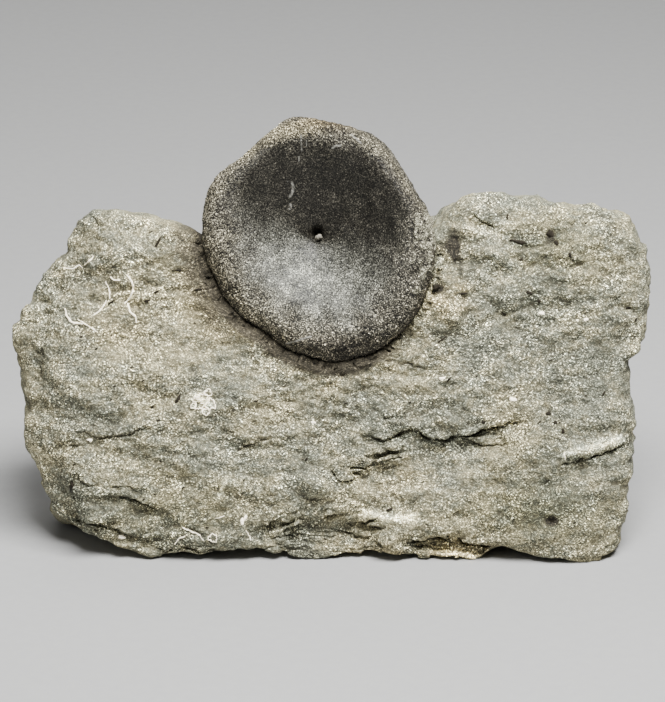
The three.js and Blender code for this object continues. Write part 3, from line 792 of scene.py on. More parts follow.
class BlockCarving:
    """What lumps, breaks, beds, dirt and painted shade do to each vertex of the block."""

    def __init__(self, settings, lines, surface, disc):
        self.settings = settings
        self.lines = lines
        self.surface = surface
        self.disc = disc
        self.streaks = DrawnLines(PALE_STREAKS_AND_HIGHLIGHTS, 0.3)

    def at(self, vert):
        """How far a vertex moves, and its numbers for the material."""
        u, w, out = face_coords(vert.co)
        facing_out = vert.normal.dot(FACE_OUT)
        facing = smooth(0.1, 0.6, facing_out) * smooth(-18, -12, out)
        to_disc = self.disc.find_nearest(vert.co)[3] / MM
        clear = smooth(0.4, 2.6, to_disc)
        move = self.relief(vert, u, w, facing, clear)
        crack = 0.0
        if facing > 0.02:
            carved, crack = self.breakage(u, w, out)
            move += FACE_OUT * carved * MM * facing * clear
        fill, mud_and_shade_band, browned = self.mud_and_shade(vert, to_disc)
        tone_shift = all_spots(u, w, TONE_SPOTS) * facing
        marks = {
            "brown": min(1.0, max(0.0, tone_shift) + browned),
            "grey": max(0.0, -tone_shift),
            "mud_and_shade": mud_and_shade_band,
            "crack": crack * facing,
            "bedded": min(1.0, all_spots(u, w, BEDDED)) * facing,
            "pale": self.streaks.closeness(u, w) * facing,
            "darkened_hollow": min(1.0, all_spots(u, w, DARKENED_HOLLOWS) * smooth(-0.1, 0.2, facing_out)),
            "face": facing,
        }
        return move + FACE_OUT * fill * MM, marks

    def relief(self, vert, u, w, facing, clear):
        """The move for lumps all over, and for beds on the sides and back."""
        point = vert.co / MM
        rough = rock_lumps(point, mix(0.4, 1.0, facing)) * (1 + all_spots(u, w, ROUGHER))
        height = mix(self.settings.relief, self.settings.face_relief, facing)
        move = vert.normal * rough * height * clear
        outside = 1 - facing
        if outside > 0:
            level = vert.normal.copy()
            level.z = 0
            move += level * side_beds(point) * self.settings.relief * 1.1 * outside * clear
        return move

    def breakage(self, u, w, out):
        """How far breaks, dents and thin beds move the face out, and how dark the crack is."""
        carved, crack = carve_break(u, w, out, self.lines, self.surface)
        steps = 0.0
        for spot in BEDDED:
            here = nearness(u, w, spot) * spot[4]
            if here > 0.05:
                step, edge = bedding_steps(u, w)
                steps += here * step
                # Bed edges are darkened as cracks are: dirt and painted shade.
                crack = max(crack, 0.3 * edge * here)
        return carved + all_spots(u, w, DENTS) + steps, crack

    def mud_and_shade(self, vert, to_disc):
        """How high the fill stands at the disc's lower left, how far the rock there is darkened by
        dirt and painted shade, and how brown.
        """
        right, _, up = disc_coords(vert.co)
        around = Vector((right, up)).normalized()
        lower_left = smooth(-0.35, 0.65, around.dot(MUD_AND_SHADE_SIDE))
        to_left = smooth(-1.05, -0.65, around.y)
        level = DISC_CENTRE + DISC_TURNED @ Vector((right, MUD_LEVEL, up)) * MM
        beside = self.disc.find_nearest(level)[3] / MM if to_disc < MUD_END else math.inf
        fill = MUD_FILL * lower_left * math.exp(-((beside / MUD_REACH) ** 2))
        # Close to the disc, and wider on its left, the rock is darkened: dirt and painted shade.
        close_mud_and_shade = 0.92 * (1 - smooth(2.0, 5.5, beside))
        wide_mud_and_shade = 0.66 * to_left * (1 - smooth(5.0, 13.0, beside))
        browned = 0.25 * (1 - smooth(3, mix(9, 13, to_left), to_disc)) * lower_left
        return fill, max(close_mud_and_shade, wide_mud_and_shade) * lower_left, browned


def lapped(place, disc):
    """The place, drawn up to the disc's side where the rock is close enough to touch it."""
    spot, normal, _, _ = disc.find_nearest(place)
    gap = (place - spot).dot(normal) / MM
    if gap > LAP_REACH:
        return place
    return spot + normal * (LAP_GAP + max(gap, 0.0) * smooth(LAP_CLOSE, LAP_REACH, gap)) * MM


class FOSSIL_OT_limestone(bpy.types.Operator):
    """Builds the limestone block from the CAD block: finer, rougher, cracked and bedded."""

    bl_idname = "fossil.limestone"
    bl_label = "Limestone block"

    def execute(self, context):
        settings = context.scene.fossil_limestone
        block = merged_copy("matrix", "limestone_block")
        bm = remeshed(block, settings.cell * (1))
        relax(bm, BLOCK_RELAXING)
        lines = BreakLines()
        disc = BVHTree.FromObject(bpy.data.objects["centrum"], context.evaluated_depsgraph_get())
        refine(bm, self.is_face)
        relax(bm, 1)
        carving = BlockCarving(settings, lines, FaceSurface(bm), disc)
        refine(bm, lambda face: self.is_fine(face, lines))
        moves = []
        attributes = {}
        for vert in bm.verts:
            move, marks = carving.at(vert)
            moves.append(move)
            collect(attributes, marks)
        for vert, move in zip(bm.verts, moves):
            vert.co = inside_cad(lapped(vert.co + move, disc))
        bm.normal_update()
        attributes["hollow"] = hollowness(bm, 0.12 * MM)
        finish_mesh(bm, block, attributes)
        dress(block, limestone_material(settings))
        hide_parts("matrix")
        return {"FINISHED"}

    @staticmethod
    def is_face(face):
        """Whether a mesh face belongs to the broken face of the block."""
        out = face_coords(face.calc_center_median())[2]
        return face.normal.dot(FACE_OUT) > 0.25 and out > -FACE_DEPTH

    @staticmethod
    def is_fine(face, lines):
        """Whether a mesh face is beside a break or among thin beds."""
        u, w, out = face_coords(face.calc_center_median())
        if face.normal.dot(FACE_OUT) < 0.1 or out < -14:
            return False
        distance, _, (*_, width, _) = lines.nearest(u, w)
        bedded = max(nearness(u, w, spot) * spot[4] for spot in BEDDED)
        return distance < 0.8 + width or bedded > 0.42


def limestone_material(settings):
    """Grey rock: short strokes of light and dark grains, with brown, dirt, painted shade, cracks and
    laminae.
    """
    material, tree, shader = new_material("limestone", 0.9, 0.3)
    coords = object_coords(tree, (0.9, 1.0, 1.15))
    patches = lumps(tree, coords, 24 * MM, 3, 0.6)
    mottling = lumps(tree, coords, 5 * MM, 3, 0.65, 3.1)
    knobs = lumps(tree, coords, 2.4 * MM, 2, 0.6, 9.4)
    grains = lumps(tree, coords, settings.speckle * 2.6, 2, 0.6, 5.3)
    speckle = strokes(tree, settings.speckle, (38, -32))
    tints = lumps(tree, coords, 1.5 * MM, 2, 0.7, 6.6)

    tone = weighted(tree, [(patches, 0.45), (mottling, 0.25), (tints, 0.30)])
    tone = spread(tree, tone, 0.40, 0.60)
    colour = blend_colours(tree, tone, scaled(settings.cool), scaled(settings.warm))
    contrast = spread(tree, lumps(tree, coords, 7 * MM, 2, 0.5, 4.7), 0.35, 0.65)
    on_the_face = attribute_value(tree, "face")
    contrast = weighted(tree, [(contrast, 0.5), (on_the_face, 0.4), (None, 0.35)])
    shade = weighted(tree, [(speckle, 9.5), (grains, 1.6), (None, -6.41)])
    darks = math_node(tree, "MINIMUM", shade, 0.0)
    softer = weighted(tree, [(shade, 1.15), (darks, -0.7)])
    shade = math_node(tree, "MULTIPLY", softer, contrast)
    broad = [(knobs, 0.9), (mottling, 0.95), (patches, 1.1), (None, -1.57)]
    shade = weighted(tree, [(shade, 1.0), *broad])
    # Pale streaks lighten the face: pale rock, and partly painted highlight.
    pale = attribute_value(tree, "pale")
    streaky = lumps(tree, object_coords(tree, (0.25, 1, 1.6)), 0.7 * MM, 2, 0.6, 3.3)
    shade = weighted(tree, [(shade, 1.0), (math_node(tree, "MULTIPLY", pale, streaky), 2.3)])
    laminae = laminae_mask(tree)
    shade = weighted(tree, [(shade, 1.0), (laminae, -0.85)])
    shade = math_node(tree, "POWER", 4.0, shade)
    colour = grained(tree, colour, grey_colour(tree, shade))
    grainy = grey_colour(tree, math_node(tree, "POWER", shade, 0.7))
    # The darkening of the groove and the cracks: dirt and painted shade.
    grainy_mud_and_shade = grained(tree, scaled(settings.mud_and_shade), grainy)

    sparse = spread(tree, lumps(tree, coords, 1.3 * MM, 2, 0.5, 8.8), 0.70, 0.76)
    sparse = math_node(tree, "MULTIPLY", sparse, 0.7)
    colour = blend_colours(tree, sparse, colour, scaled(settings.cool, 0.2))
    brown = attribute_value(tree, "brown")
    brown = math_node(tree, "MULTIPLY", brown, math_node(tree, "ADD", 0.5, mottling), clamp=True)
    tinted = grained(tree, colour, scaled(settings.brown, 3.0))
    colour = blend_colours(tree, brown, colour, tinted)
    grey = attribute_value(tree, "grey")
    colour = blend_colours(tree, grey, colour, scaled(settings.cool, 1.3), "MULTIPLY")
    # Hollows are darkened towards the same dark colour as the dirt: painted shade.
    hollow = math_node(tree, "MULTIPLY", attribute_value(tree, "hollow"), 0.6, clamp=True)
    colour = blend_colours(tree, hollow, colour, scaled(settings.mud_and_shade))
    patchy = [(grains, 0.5), (mottling, 0.5), (None, -0.5)]
    # The rock by the disc's lower left is darkened: dirt and painted shade.
    mud_and_shade = weighted(tree, [(attribute_value(tree, "mud_and_shade"), 1.0), *patchy])
    colour = blend_colours(tree, spread(tree, mud_and_shade, 0.2, 0.85), colour, grainy_mud_and_shade)
    # Dark hollows are darkened further: dirt and painted shade.
    hollow_darkening = weighted(tree, [(attribute_value(tree, "darkened_hollow"), 1.0), *patchy])
    dark_mud_and_shade = grained(tree, scaled(settings.mud_and_shade, 0.4), grainy)
    colour = blend_colours(tree, spread(tree, hollow_darkening, 0.1, 0.7), colour, dark_mud_and_shade)
    # Cracks and bed edges are darkened: dirt and painted shade.
    crack = math_node(tree, "MULTIPLY", attribute_value(tree, "crack"), 0.8, clamp=True)
    colour = blend_colours(tree, crack, colour, grainy_mud_and_shade)
    tree.links.new(colour, shader.inputs["Base Color"])

    fine = [(speckle, 0.5), (grains, 1.0)]
    height = weighted(tree, [*fine, (knobs, 1.8), (mottling, 1.5), (laminae, -0.8)])
    set_bump(tree, shader, height, settings.grain_bump)
    return material


def laminae_mask(tree):
    """1 along the dark hairlines between thin beds, where the rock is bedded."""
    laminae = lumps(tree, object_coords(tree, (0.2, 0.8, 1.5)), 2.2 * MM, 3, 0.6, 9.9)
    laminae = math_node(tree, "ABSOLUTE", math_node(tree, "SUBTRACT", laminae, 0.5))
    laminae = spread(tree, laminae, 0.0, 0.022)
    laminae = math_node(tree, "SUBTRACT", 1.0, laminae)
    return math_node(tree, "MULTIPLY", laminae, attribute_value(tree, "bedded"))


# ---- the vertebra ------------------------------------------------------------------------------


def bone_grain(point):
    """Worm-like grains of the open bone, 0 in their crevices and 1 on their crests."""
    bent = point + 0.5 * noise.noise_vector(point / 1.7)
    coarse = 1 - abs(noise.noise(bent / 0.62)) * 2.6
    fine = 0.5 + noise.noise(bent / 0.42 + Vector((3, 8, 1)))
    return max(0.0, min(1.0, 0.6 * coarse + 0.4 * fine))


def rock_crust(point):
    """1 where rock is left on the right of the rim."""
    right, _, up = point
    patchy = 2.2 * noise.noise(point / 2.6)
    outside = smooth(25.6, 26.4, right + 0.35 * patchy)
    above = smooth(-14.5, -12, up + patchy)
    below = 1 - smooth(5, 9, up + patchy)
    bare = 0.45 * (1 - smooth(-5, -0.5, up))
    whole = smooth(bare - 0.32, bare - 0.12, noise.noise(point / 2.2 + Vector((5, 0, 2))))
    return outside * above * below * whole


def upper_side(around):
    """1 towards the disc's upper left and upper right, 0 above and below."""
    return smooth(0.0, 0.5, around.y) * smooth(0.2, 0.55, abs(around.x))


class DiscVertex:
    """One vertex of the disc: where it is, and what grain, wear and dirt do there."""

    def __init__(self, vert):
        self.point = Vector(disc_coords(vert.co))
        self.right, self.behind, self.up = self.point
        self.radius = math.hypot(self.right, self.up)
        # In the very middle there is no direction, and straight down stands in for it.
        centred = self.radius <= 0.1
        self.around = Vector((0, -1)) if centred else Vector((self.right, self.up)).normalized()
        self.front = -(DISC_TURNED.transposed() @ vert.normal).y
        # The pale lower left of the rim gets painted highlight and less painted shade.
        self.pale = smooth(0.45, 1.0, self.around.dot(PALE_HIGHLIGHT_SIDE)) * smooth(14, 22, self.radius)
        self.rim = self.graininess()
        self.crust = rock_crust(self.point)
        self.grain = bone_grain(self.point)

    def graininess(self):
        """1 on the open-grained rim and sides, 0 in the smooth dish."""
        if self.behind > 14:
            return 1.0
        lower_left = smooth(-0.2, 1.0, self.around.dot(GRAINY_SIDE))
        above = upper_side(self.around)
        start = 23.6 - 3.5 * lower_left + 2.7 * above
        start += 3.2 * noise.noise(Vector((self.right / 3.4, self.up / 3.4, 3.3)))
        width = 4.6 + 2.6 * lower_left - 1.6 * above
        return smooth(start - width, start + width, self.radius)

    def pit(self):
        """How much deeper the dish is in its middle, in millimetres."""
        narrow = 2.0 * math.exp(-((self.right / 1.1) ** 2) - ((self.up - 0.2) / 1.25) ** 2)
        wide = 0.9 * math.exp(-((self.radius / 3.2) ** 2))
        return (narrow + wide) * (self.behind < 16)

    def height(self, grain_height):
        """How far lumps, grain, crust and faint growth rings stand out, in millimetres."""
        point, rim = self.point, self.rim
        lump = 0.25 * noise.noise(point / 3.4) + (0.05 + 0.15 * rim) * noise.noise(point / 1.3)
        lump += all_spots(self.right, self.up, DISC_LUMPS) * smooth(0.1, 0.5, self.front)
        crust = 0.35 * self.crust * (0.6 + noise.noise(point / 1.1))
        lump += grain_height / MM * rim * (self.grain - 0.5) + crust
        rings = 0.02 * math.sin(self.radius * 4.6 + 2 * noise.noise(point / 6))
        return lump + rings * (1 - rim) * (self.behind < 13)

    def marks(self, scratches):
        """The vertex's numbers for the material."""
        scratched = scratches.closeness(self.right, self.up) * smooth(-0.1, 0.3, self.front)
        return {
            "rim": self.rim,
            "caked": self.crust,
            "rusty": nearness(self.right, self.up, RUSTY),
            "grain": self.grain,
            "underside_shade_and_dirt": self.underside_shade_and_dirt(),
            "painted_sheen": self.painted_sheen(),
            "scratched": scratched * (self.radius < 31),
            "painted_highlight": self.painted_highlight(),
            "streaked": all_spots(self.right, self.up, DISH_STREAKS),
        }

    def underside_shade_and_dirt(self):
        """Painted shade and dirt: 1 where the rim rolls back below, and along its lowest edge."""
        back = (1 - smooth(0.2, 0.78, self.front)) * smooth(18, 24, self.radius)
        back = back * smooth(4, -8, self.up) * (1 - 0.75 * self.pale)
        return max(back, 0.75 * (1 - smooth(-27.5, -24.5, self.up)) * (1 - self.pale))

    def painted_sheen(self):
        """Painted sheen: 1 low in the dish, less in its middle and in the painted shadow above the
        pit.
        """
        share = smooth(-0.6, 0.95, self.around.dot(PAINTED_SHEEN_SIDE)) ** 1.4
        shadow = 0.9 * nearness(self.right, self.up, PIT_SHADOW)
        return share * (1 - 0.7 * math.exp(-((self.radius / 4.5) ** 2))) - shadow

    def painted_highlight(self):
        """Painted highlight: 1 on the crest, and less on the pale lower left and the upper lip."""
        lip = upper_side(self.around) * smooth(25.6, 27.0, self.radius) * (self.behind < 12)
        crest = smooth(0.86, 0.98, self.around.dot(CREST_SIDE)) * smooth(25.0, 27.5, self.radius)
        crest *= self.behind < 12
        crest *= 1 - smooth(29.2, 31.0, self.radius)
        return max(0.35 * self.pale, 0.28 * lip, crest)


class FOSSIL_OT_centrum(bpy.types.Operator):
    """Builds the dish-faced disc of bone from the CAD disc, with a grainy rim."""

    bl_idname = "fossil.centrum"
    bl_label = "Centrum"

    def execute(self, context):
        settings = context.scene.fossil_bone
        disc = merged_copy("vertebra", "centrum")
        bm = remeshed(disc, settings.cell * (1))
        relax(bm, DISC_RELAXING)
        refine(bm, self.is_rim)
        scratches = DrawnLines(SCRATCHES, 0.12)
        attributes = {}
        for vert in bm.verts:
            here = DiscVertex(vert)
            vert.co += DISC_TURNED @ Vector((0, here.pit() * MM, 0))
            vert.co += vert.normal * here.height(settings.grain_height) * MM
            vert.co = inside_cad(vert.co)
            collect(attributes, here.marks(scratches))
        bm.normal_update()
        finish_mesh(bm, disc, attributes)
        dress(disc, bone_material(settings))
        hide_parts("vertebra")
        return {"FINISHED"}

    @staticmethod
    def is_rim(face):
        """Whether a mesh face belongs to the rim, where the grain is finest."""
        right, behind, up = disc_coords(face.calc_center_median())
        return math.hypot(right, up) > REFINED_RADIUS and behind < REFINED_DEPTH


def bone_material(settings):
    """Dark bone: a smooth dish with painted sheen, an open-grained rim, rust, scratches and rock
    crumbs.
    """
    material, tree, shader = new_material("fossil_bone", 0.4, 0.2)
    coords = object_coords(tree, (1, 1, 1))
    rim = attribute_value(tree, "rim")
    crests = attribute_value(tree, "grain")
    grain = lumps(tree, coords, settings.grain, 2, 0.6, 0.0, 0.8)
    fine = lumps(tree, coords, 0.32 * MM, 1, 0.6, 4.4)
    cloud = lumps(tree, coords, 5 * MM, 3, 0.65, 2.2)
    strands = lumps(tree, coords, 0.8 * MM, 1, 0.5, 7.7, 1.0)
    valleys = math_node(tree, "ABSOLUTE", math_node(tree, "SUBTRACT", strands, 0.5))
    valleys = spread(tree, valleys, 0.0, 0.07)

    contrast = weighted(tree, [(rim, 0.45), (None, 1.15)])
    specks = weighted(tree, [(fine, 4.8), (grain, 2.0), (valleys, 0.5), (None, -3.8)])
    specks = math_node(tree, "MULTIPLY", specks, contrast)
    streaked = attribute_value(tree, "streaked")
    painted_sheen = attribute_value(tree, "painted_sheen")
    clouded = math_node(tree, "MULTIPLY", math_node(tree, "SUBTRACT", cloud, 0.5), painted_sheen)
    broad = [(cloud, 1.6), (clouded, 1.3), (streaked, 1.0), (None, -0.8)]
    specks = weighted(tree, [(specks, 1.0), *broad])
    shade = grey_colour(tree, math_node(tree, "POWER", 4.0, specks))
    # The lower dish is lightened as painted sheen.
    dish = blend_colours(tree, painted_sheen, scaled(settings.dish), scaled(settings.painted_sheen))
    # The rim's underside and lowest edge are darkened: painted shade and dirt.
    underside_shade_and_dirt = math_node(tree, "MULTIPLY", attribute_value(tree, "underside_shade_and_dirt"), 0.9)
    rim_colour = blend_colours(tree, underside_shade_and_dirt, scaled(settings.rim), scaled(settings.rim_shade_and_dirt))
    crests = spread(tree, crests, 0.0, 1.0)
    rim_colour = blend_colours(tree, crests, scaled(settings.dish, 1.5), rim_colour)
    # The crest, the upper lip and the pale lower left are lightened: painted highlight.
    painted_highlight = attribute_value(tree, "painted_highlight")
    rim_colour = blend_colours(tree, painted_highlight, rim_colour, PAINTED_HIGHLIGHT_GAIN, "MULTIPLY")
    colour = blend_colours(tree, rim, dish, rim_colour)
    colour = grained(tree, colour, shade)
    rusty = attribute_value(tree, "rusty")
    colour = blend_colours(tree, rusty, colour, scaled(settings.rust), "MULTIPLY")
    scratch = math_node(tree, "MULTIPLY", attribute_value(tree, "scratched"), grain)
    colour = blend_colours(tree, spread(tree, scratch, 0.1, 0.6), colour, SCRATCH_COLOUR)
    crumb_shade = weighted(tree, [(fine, 6.0), (grain, 3.2), (cloud, 1.0), (None, -5.1)])
    crumb_shade = grey_colour(tree, math_node(tree, "POWER", 4.0, crumb_shade))
    crumbs = grained(tree, crumb_shade, scaled(settings.crumbs))
    colour = blend_colours(tree, attribute_value(tree, "caked"), colour, crumbs)
    tree.links.new(colour, shader.inputs["Base Color"])

    dullness = weighted(tree, [(rim, 0.28), (grain, 0.5), (None, 0.12)])
    tree.links.new(dullness, shader.inputs["Roughness"])
    rim_height = weighted(tree, [(grain, 0.9), (fine, 0.8)])
    rim_height = math_node(tree, "MULTIPLY", rim_height, math_node(tree, "ADD", rim, 0.12))
    height = math_node(tree, "ADD", rim_height, math_node(tree, "MULTIPLY", fine, 0.22))
    set_bump(tree, shader, height, settings.grain_bump)
    return material


class FOSSIL_OT_pit_plug(bpy.types.Operator):
    """Puts a pale grain of rock in the lower lip of the disc's pit."""

    bl_idname = "fossil.pit_plug"
    bl_label = "Pit plug"

    def execute(self, context):
        bm = bmesh.new()
        seat = DISC_CENTRE + DISC_TURNED @ Vector(PLUG_SEAT) * MM
        halves = [half * MM for half in PLUG_HALF]
        place = Matrix.Translation(seat) @ Matrix.Diagonal((*halves, 1))
        bmesh.ops.create_icosphere(bm, subdivisions=3, radius=1, matrix=place)
        for vert in bm.verts:
            vert.co += (vert.co - seat) * 0.8 * noise.noise(vert.co / (0.6 * MM))
        plug = add_object("pit_plug", bpy.data.meshes.new("pit_plug"))
        finish_mesh(bm, plug, {})
        dress(plug, shell_material("pale_grain", (0.27, 0.25, 0.20)))
        return {"FINISHED"}


# ---- shells and flecks on the face -------------------------------------------------------------


def block_surface():
    """The block's surface, ready for points to be put on it."""
    block = bpy.data.objects["limestone_block"]
    return BVHTree.FromObject(block, bpy.context.evaluated_depsgraph_get())


def settle(surface, u, w, out=0.0):
    """The point of the block's surface behind (u, w) of the face, raised a little."""
    hit = surface.ray_cast(on_face(u, w, RAY_START), -FACE_OUT)[0]
    return None if hit is None else hit + FACE_OUT * out * MM


class FOSSIL_OT_shells(bpy.types.Operator):
    """Lays the thin broken edges of shells and chalky spots into the face."""

    bl_idname = "fossil.shells"
    bl_label = "Shell sections"

    def execute(self, context):
        surface = block_surface()
        curve = bpy.data.curves.new("shell_lines", "CURVE")
        curve.dimensions = "3D"
        curve.bevel_depth = 0.5 * MM
        curve.bevel_resolution = 1
        curve.use_fill_caps = True
        for points, width in SHELLS:
            self.add_line(curve, surface, catmull_rom(points, 0.3), width)
        for centre_u, centre_w, radius, width in SHELL_RINGS:
            self.add_line(curve, surface, self.ring(centre_u, centre_w, radius), width)
        drawn = bpy.data.objects.new("shell_lines", curve)
        context.scene.collection.objects.link(drawn)
        evaluated = drawn.evaluated_get(context.evaluated_depsgraph_get())
        mesh = bpy.data.meshes.new_from_object(evaluated)
        bpy.data.objects.remove(drawn)
        bm = bmesh.new()
        bm.from_mesh(mesh)
        bmesh.ops.remove_doubles(bm, verts=bm.verts, dist=0.001 * MM)
        spots = [spot for spline in curve.splines for spot in spline.points]
        self.flatten(bm, [Vector(spot.co[:3]) for spot in spots])
        for u, w, half_u, half_w in CHALK_SPOTS:
            add_lens(bm, settle(surface, u, w), half_u, half_w, 0.22, 0)
        mesh.name = "shell_sections"
        mesh.materials.clear()
        shells = add_object("shell_sections", mesh)
        finish_mesh(bm, shells, {})
        # A gain of 2 lifts the shells' colour past white, so they send back more light than falls on
        # them: painted glow.
        dress(shells, shell_material("shell_white", (0.95, 0.86, 0.66), 2.0))
        return {"FINISHED"}

    @staticmethod
    def ring(centre_u, centre_w, radius):
        """The points of an uneven closed ring on the face."""
        line = []
        for i in range(RING_STEPS + 1):
            angle = math.radians(360 * i / RING_STEPS)
            across, up = math.cos(angle), math.sin(angle)
            place = Vector((centre_u + 2.3 * across, centre_w, 2.3 * up))
            uneven = 1 + 0.8 * noise.noise(place)
            line.append(Vector((centre_u, centre_w)) + radius * uneven * Vector((across, up)))
        return line

    @staticmethod
    def flatten(bm, middles):
        """Makes the round lines flat against the face, about their middles."""
        finder = point_finder(middles)
        for vert in bm.verts:
            middle = finder.find(vert.co)[0]
            vert.co -= FACE_OUT * 0.65 * (vert.co - middle).dot(FACE_OUT)

    @staticmethod
    def add_line(curve, surface, line, width):
        """Lays a line on the block: wavering, swelling, and thin at its ends."""
        seats = [settle(surface, p.x, p.y, 0.12) for p in line]
        seats = [seat for seat in seats if seat is not None]
        spline = curve.splines.new("POLY")
        spline.points.add(len(seats) - 1)
        for i, (spot, seat) in enumerate(zip(spline.points, seats)):
            share = i / max(len(seats) - 1, 1)
            swell = 1.0 + 0.8 * noise.noise(seat / (0.9 * MM))
            jitter = 0.22 * noise.noise_vector(seat / (0.8 * MM)) * MM
            spot.co = (*(seat + jitter - FACE_OUT * jitter.dot(FACE_OUT)), 1)
            spot.radius = 1.05 * width * swell * (0.3 + 0.65 * math.sin(math.pi * share) ** 0.4)


def add_lens(bm, seat, half_u, half_w, half_out, turn):
    """A small lumpy lens lying in the face."""
    if seat is None:
        return
    turned = Matrix.Rotation(-FACE_LEAN, 4, "X") @ Matrix.Rotation(-turn, 4, "Y")
    shape = Matrix.Diagonal((half_u * MM, half_out * MM, half_w * MM, 1))
    place = Matrix.Translation(seat) @ turned @ shape
    made = bmesh.ops.create_icosphere(bm, subdivisions=2, radius=1, matrix=place)
    for vert in made["verts"]:
        vert.co += (vert.co - seat) * 0.9 * noise.noise(vert.co / (0.6 * MM))


class FOSSIL_OT_flecks(bpy.types.Operator):
    """Sets dark flecks of plant and fish scale into the face, named ones and scattered ones."""

    bl_idname = "fossil.flecks"
    bl_label = "Dark flecks"

    def execute(self, context):
        surface = block_surface()
        bm = bmesh.new()
        for u, w, length, width, turn in FLECKS:
            seat = settle(surface, u, w, 0.05)
            add_lens(bm, seat, length * 0.55, width * 0.66, 0.25, math.radians(turn))
        chance = random.Random(SCATTER_SEED)
        for _ in range(SCATTERED_FLECKS):
            u, w = chance.uniform(*SCATTER_ACROSS), chance.uniform(*SCATTER_UP)
            if math.hypot(u - DISC_PLACE[0], w - DISC_PLACE[1]) < SCATTER_CLEAR:
                continue
            length = chance.uniform(0.4, 1.1)
            turn = chance.uniform(-0.6, 0.8)
            add_lens(bm, settle(surface, u, w), length / 2, length * 0.22, 0.2, turn)
        flecks = add_object("dark_flecks", bpy.data.meshes.new("dark_flecks"))
        finish_mesh(bm, flecks, {})
        dress(flecks, shell_material("dark_fleck", (0.022, 0.018, 0.012)))
        return {"FINISHED"}


def shell_material(name, rgb, gain=1.0):
    """A dull grainy colour for shells, flecks and the pit's grain."""
    material, tree, shader = new_material(name, 0.8, 0.15)
    coords = object_coords(tree, (1, 1, 1))
    grain = spread(tree, lumps(tree, coords, 0.45 * MM, 2, 0.6), 0.3, 0.7)
    # A gain above 1 lifts the colour past white: painted glow.
    shade = grey_colour(tree, weighted(tree, [(grain, 0.45 * gain), (None, 0.7 * gain)]))
    tree.links.new(grained(tree, scaled(rgb), shade), shader.inputs["Base Color"])
    set_bump(tree, shader, grain, 0.1 * MM, 0.6)
    return material


# ---- floor, light and camera -------------------------------------------------------------------

CAMERA_LIFT = math.radians(22)
SENSOR = 36.0
VIEW_WIDTH = 175.64712     # how much of the fossil's width the camera takes in
TARGET_BELOW_MIDDLE = 8.47  # from the middle of the CAD box to where the camera looks
TARGET_LEFT = 0.13

# Each light's place and sides, in metres.
KEY_LIGHT = ((0.12, -0.21, 0.62), (0.48, 0.26))
FILL_LIGHT = ((-0.7, -0.5, 0.45), (0.7, 0.7))
BACK_LIGHT = ((-0.2, 0.45, 0.7), (0.4, 0.4))


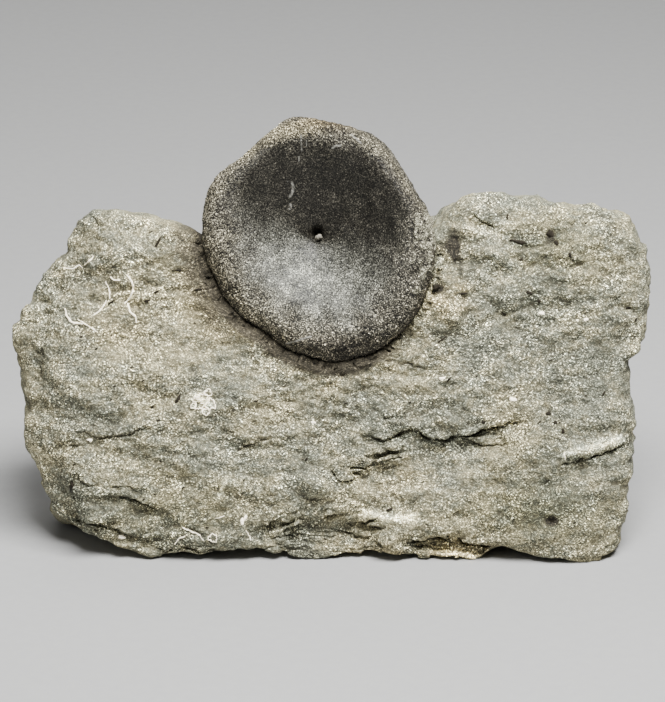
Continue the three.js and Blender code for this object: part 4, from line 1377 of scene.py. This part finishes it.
class FOSSIL_OT_stage(bpy.types.Operator):
    """Adds the pale floor, the soft light from above, and the camera."""

    bl_idname = "fossil.stage"
    bl_label = "Stage"

    def execute(self, context):
        settings = context.scene.fossil_stage
        self.add_floor(settings)
        self.add_light("key", *KEY_LIGHT, settings.key_power)
        self.add_light("fill", *FILL_LIGHT, settings.fill_power)
        self.add_light("back", *BACK_LIGHT, settings.back_power)
        world = bpy.data.worlds.new("studio")
        world.use_nodes = True
        background = world.node_tree.nodes["Background"]
        background.inputs["Color"].default_value = (1, 1, 1, 1)
        background.inputs["Strength"].default_value = settings.sky
        context.scene.world = world
        self.add_camera(context, settings)
        return {"FINISHED"}

    @staticmethod
    def add_floor(settings):
        """Lays a pale sheet, faintly mottled, under the fossil."""
        bm = bmesh.new()
        bmesh.ops.create_grid(bm, x_segments=1, y_segments=1, size=4)
        floor = add_object("floor", bpy.data.meshes.new("floor"))
        bm.to_mesh(floor.data)
        bm.free()
        material, tree, shader = new_material("floor_paper", 0.9, 0.2)
        coords = object_coords(tree, (1, 1, 1))
        paper = spread(tree, lumps(tree, coords, 3 * MM, 2), 0.3, 0.7)
        darker, lighter = scaled(settings.floor, 0.985), scaled(settings.floor, 1.015)
        colour = blend_colours(tree, paper, darker, lighter)
        tree.links.new(colour, shader.inputs["Base Color"])
        floor.data.materials.append(material)

    @staticmethod
    def add_light(name, place, sides, power):
        """Hangs a soft light that points at the middle of the fossil."""
        lamp = bpy.data.lights.new(name, "AREA")
        lamp.shape = "RECTANGLE"
        lamp.size, lamp.size_y = sides
        lamp.energy = power
        light = bpy.data.objects.new(name, lamp)
        light.location = place
        target = Vector((0, 0, CAD_HIGH.z / 2))
        light.rotation_euler = (target - light.location).to_track_quat("-Z", "Y").to_euler()
        bpy.context.scene.collection.objects.link(light)

    @staticmethod
    def add_camera(context, settings):
        """Aims the camera down at the face, from in front."""
        data = bpy.data.cameras.new("camera")
        data.sensor_fit = "HORIZONTAL"
        data.sensor_width = SENSOR
        data.lens = SENSOR / (VIEW_WIDTH * MM) * settings.distance
        data.clip_end = 20
        camera = bpy.data.objects.new("camera", data)
        forward = Vector((0, math.cos(CAMERA_LIFT), -math.sin(CAMERA_LIFT)))
        upward = Vector((0, math.sin(CAMERA_LIFT), math.cos(CAMERA_LIFT)))
        middle = Vector((0, 0, (CAD_LOW.z + CAD_HIGH.z) / 2))
        target = middle - upward * TARGET_BELOW_MIDDLE * MM - Vector((TARGET_LEFT * MM, 0, 0))
        camera.location = target - forward * settings.distance
        camera.rotation_euler = forward.to_track_quat("-Z", "Y").to_euler()
        context.scene.collection.objects.link(camera)
        context.scene.camera = camera


# ---- the add-on --------------------------------------------------------------------------------


class FOSSIL_PT_panel(bpy.types.Panel):
    """Lists the fossil's pieces and their settings."""

    bl_idname = "FOSSIL_PT_panel"
    bl_label = "Fossil"
    bl_space_type = "VIEW_3D"
    bl_region_type = "UI"
    bl_category = "Fossil"

    def draw(self, context):
        """Shows a button for each piece, and every setting."""
        layout = self.layout
        for operator in OPERATORS:
            layout.operator(operator.bl_idname)
        scene = context.scene
        for group in (scene.fossil_limestone, scene.fossil_bone, scene.fossil_stage):
            box = layout.box()
            for name in group.__annotations__:
                box.prop(group, name)


OPERATORS = (
    FOSSIL_OT_centrum,
    FOSSIL_OT_limestone,
    FOSSIL_OT_pit_plug,
    FOSSIL_OT_shells,
    FOSSIL_OT_flecks,
    FOSSIL_OT_stage,
)
CLASSES = (LimestoneSettings, BoneSettings, StageSettings, *OPERATORS, FOSSIL_PT_panel)


def register():
    """Adds the classes and the settings to Blender."""
    for cls in CLASSES:
        bpy.utils.register_class(cls)
    bpy.types.Scene.fossil_limestone = PointerProperty(type=LimestoneSettings)
    bpy.types.Scene.fossil_bone = PointerProperty(type=BoneSettings)
    bpy.types.Scene.fossil_stage = PointerProperty(type=StageSettings)


def unregister():
    """Takes the settings and the classes out again."""
    del bpy.types.Scene.fossil_stage
    del bpy.types.Scene.fossil_bone
    del bpy.types.Scene.fossil_limestone
    for cls in reversed(CLASSES):
        bpy.utils.unregister_class(cls)


def main():
    """Builds the fossil and its stage."""
    noise.seed_set(NOISE_SEED)
    register()
    for operator in (
        bpy.ops.fossil.centrum,
        bpy.ops.fossil.limestone,
        bpy.ops.fossil.pit_plug,
        bpy.ops.fossil.shells,
        bpy.ops.fossil.flecks,
        bpy.ops.fossil.stage,
    ):
        operator()


if __name__ == "__main__":
    main()
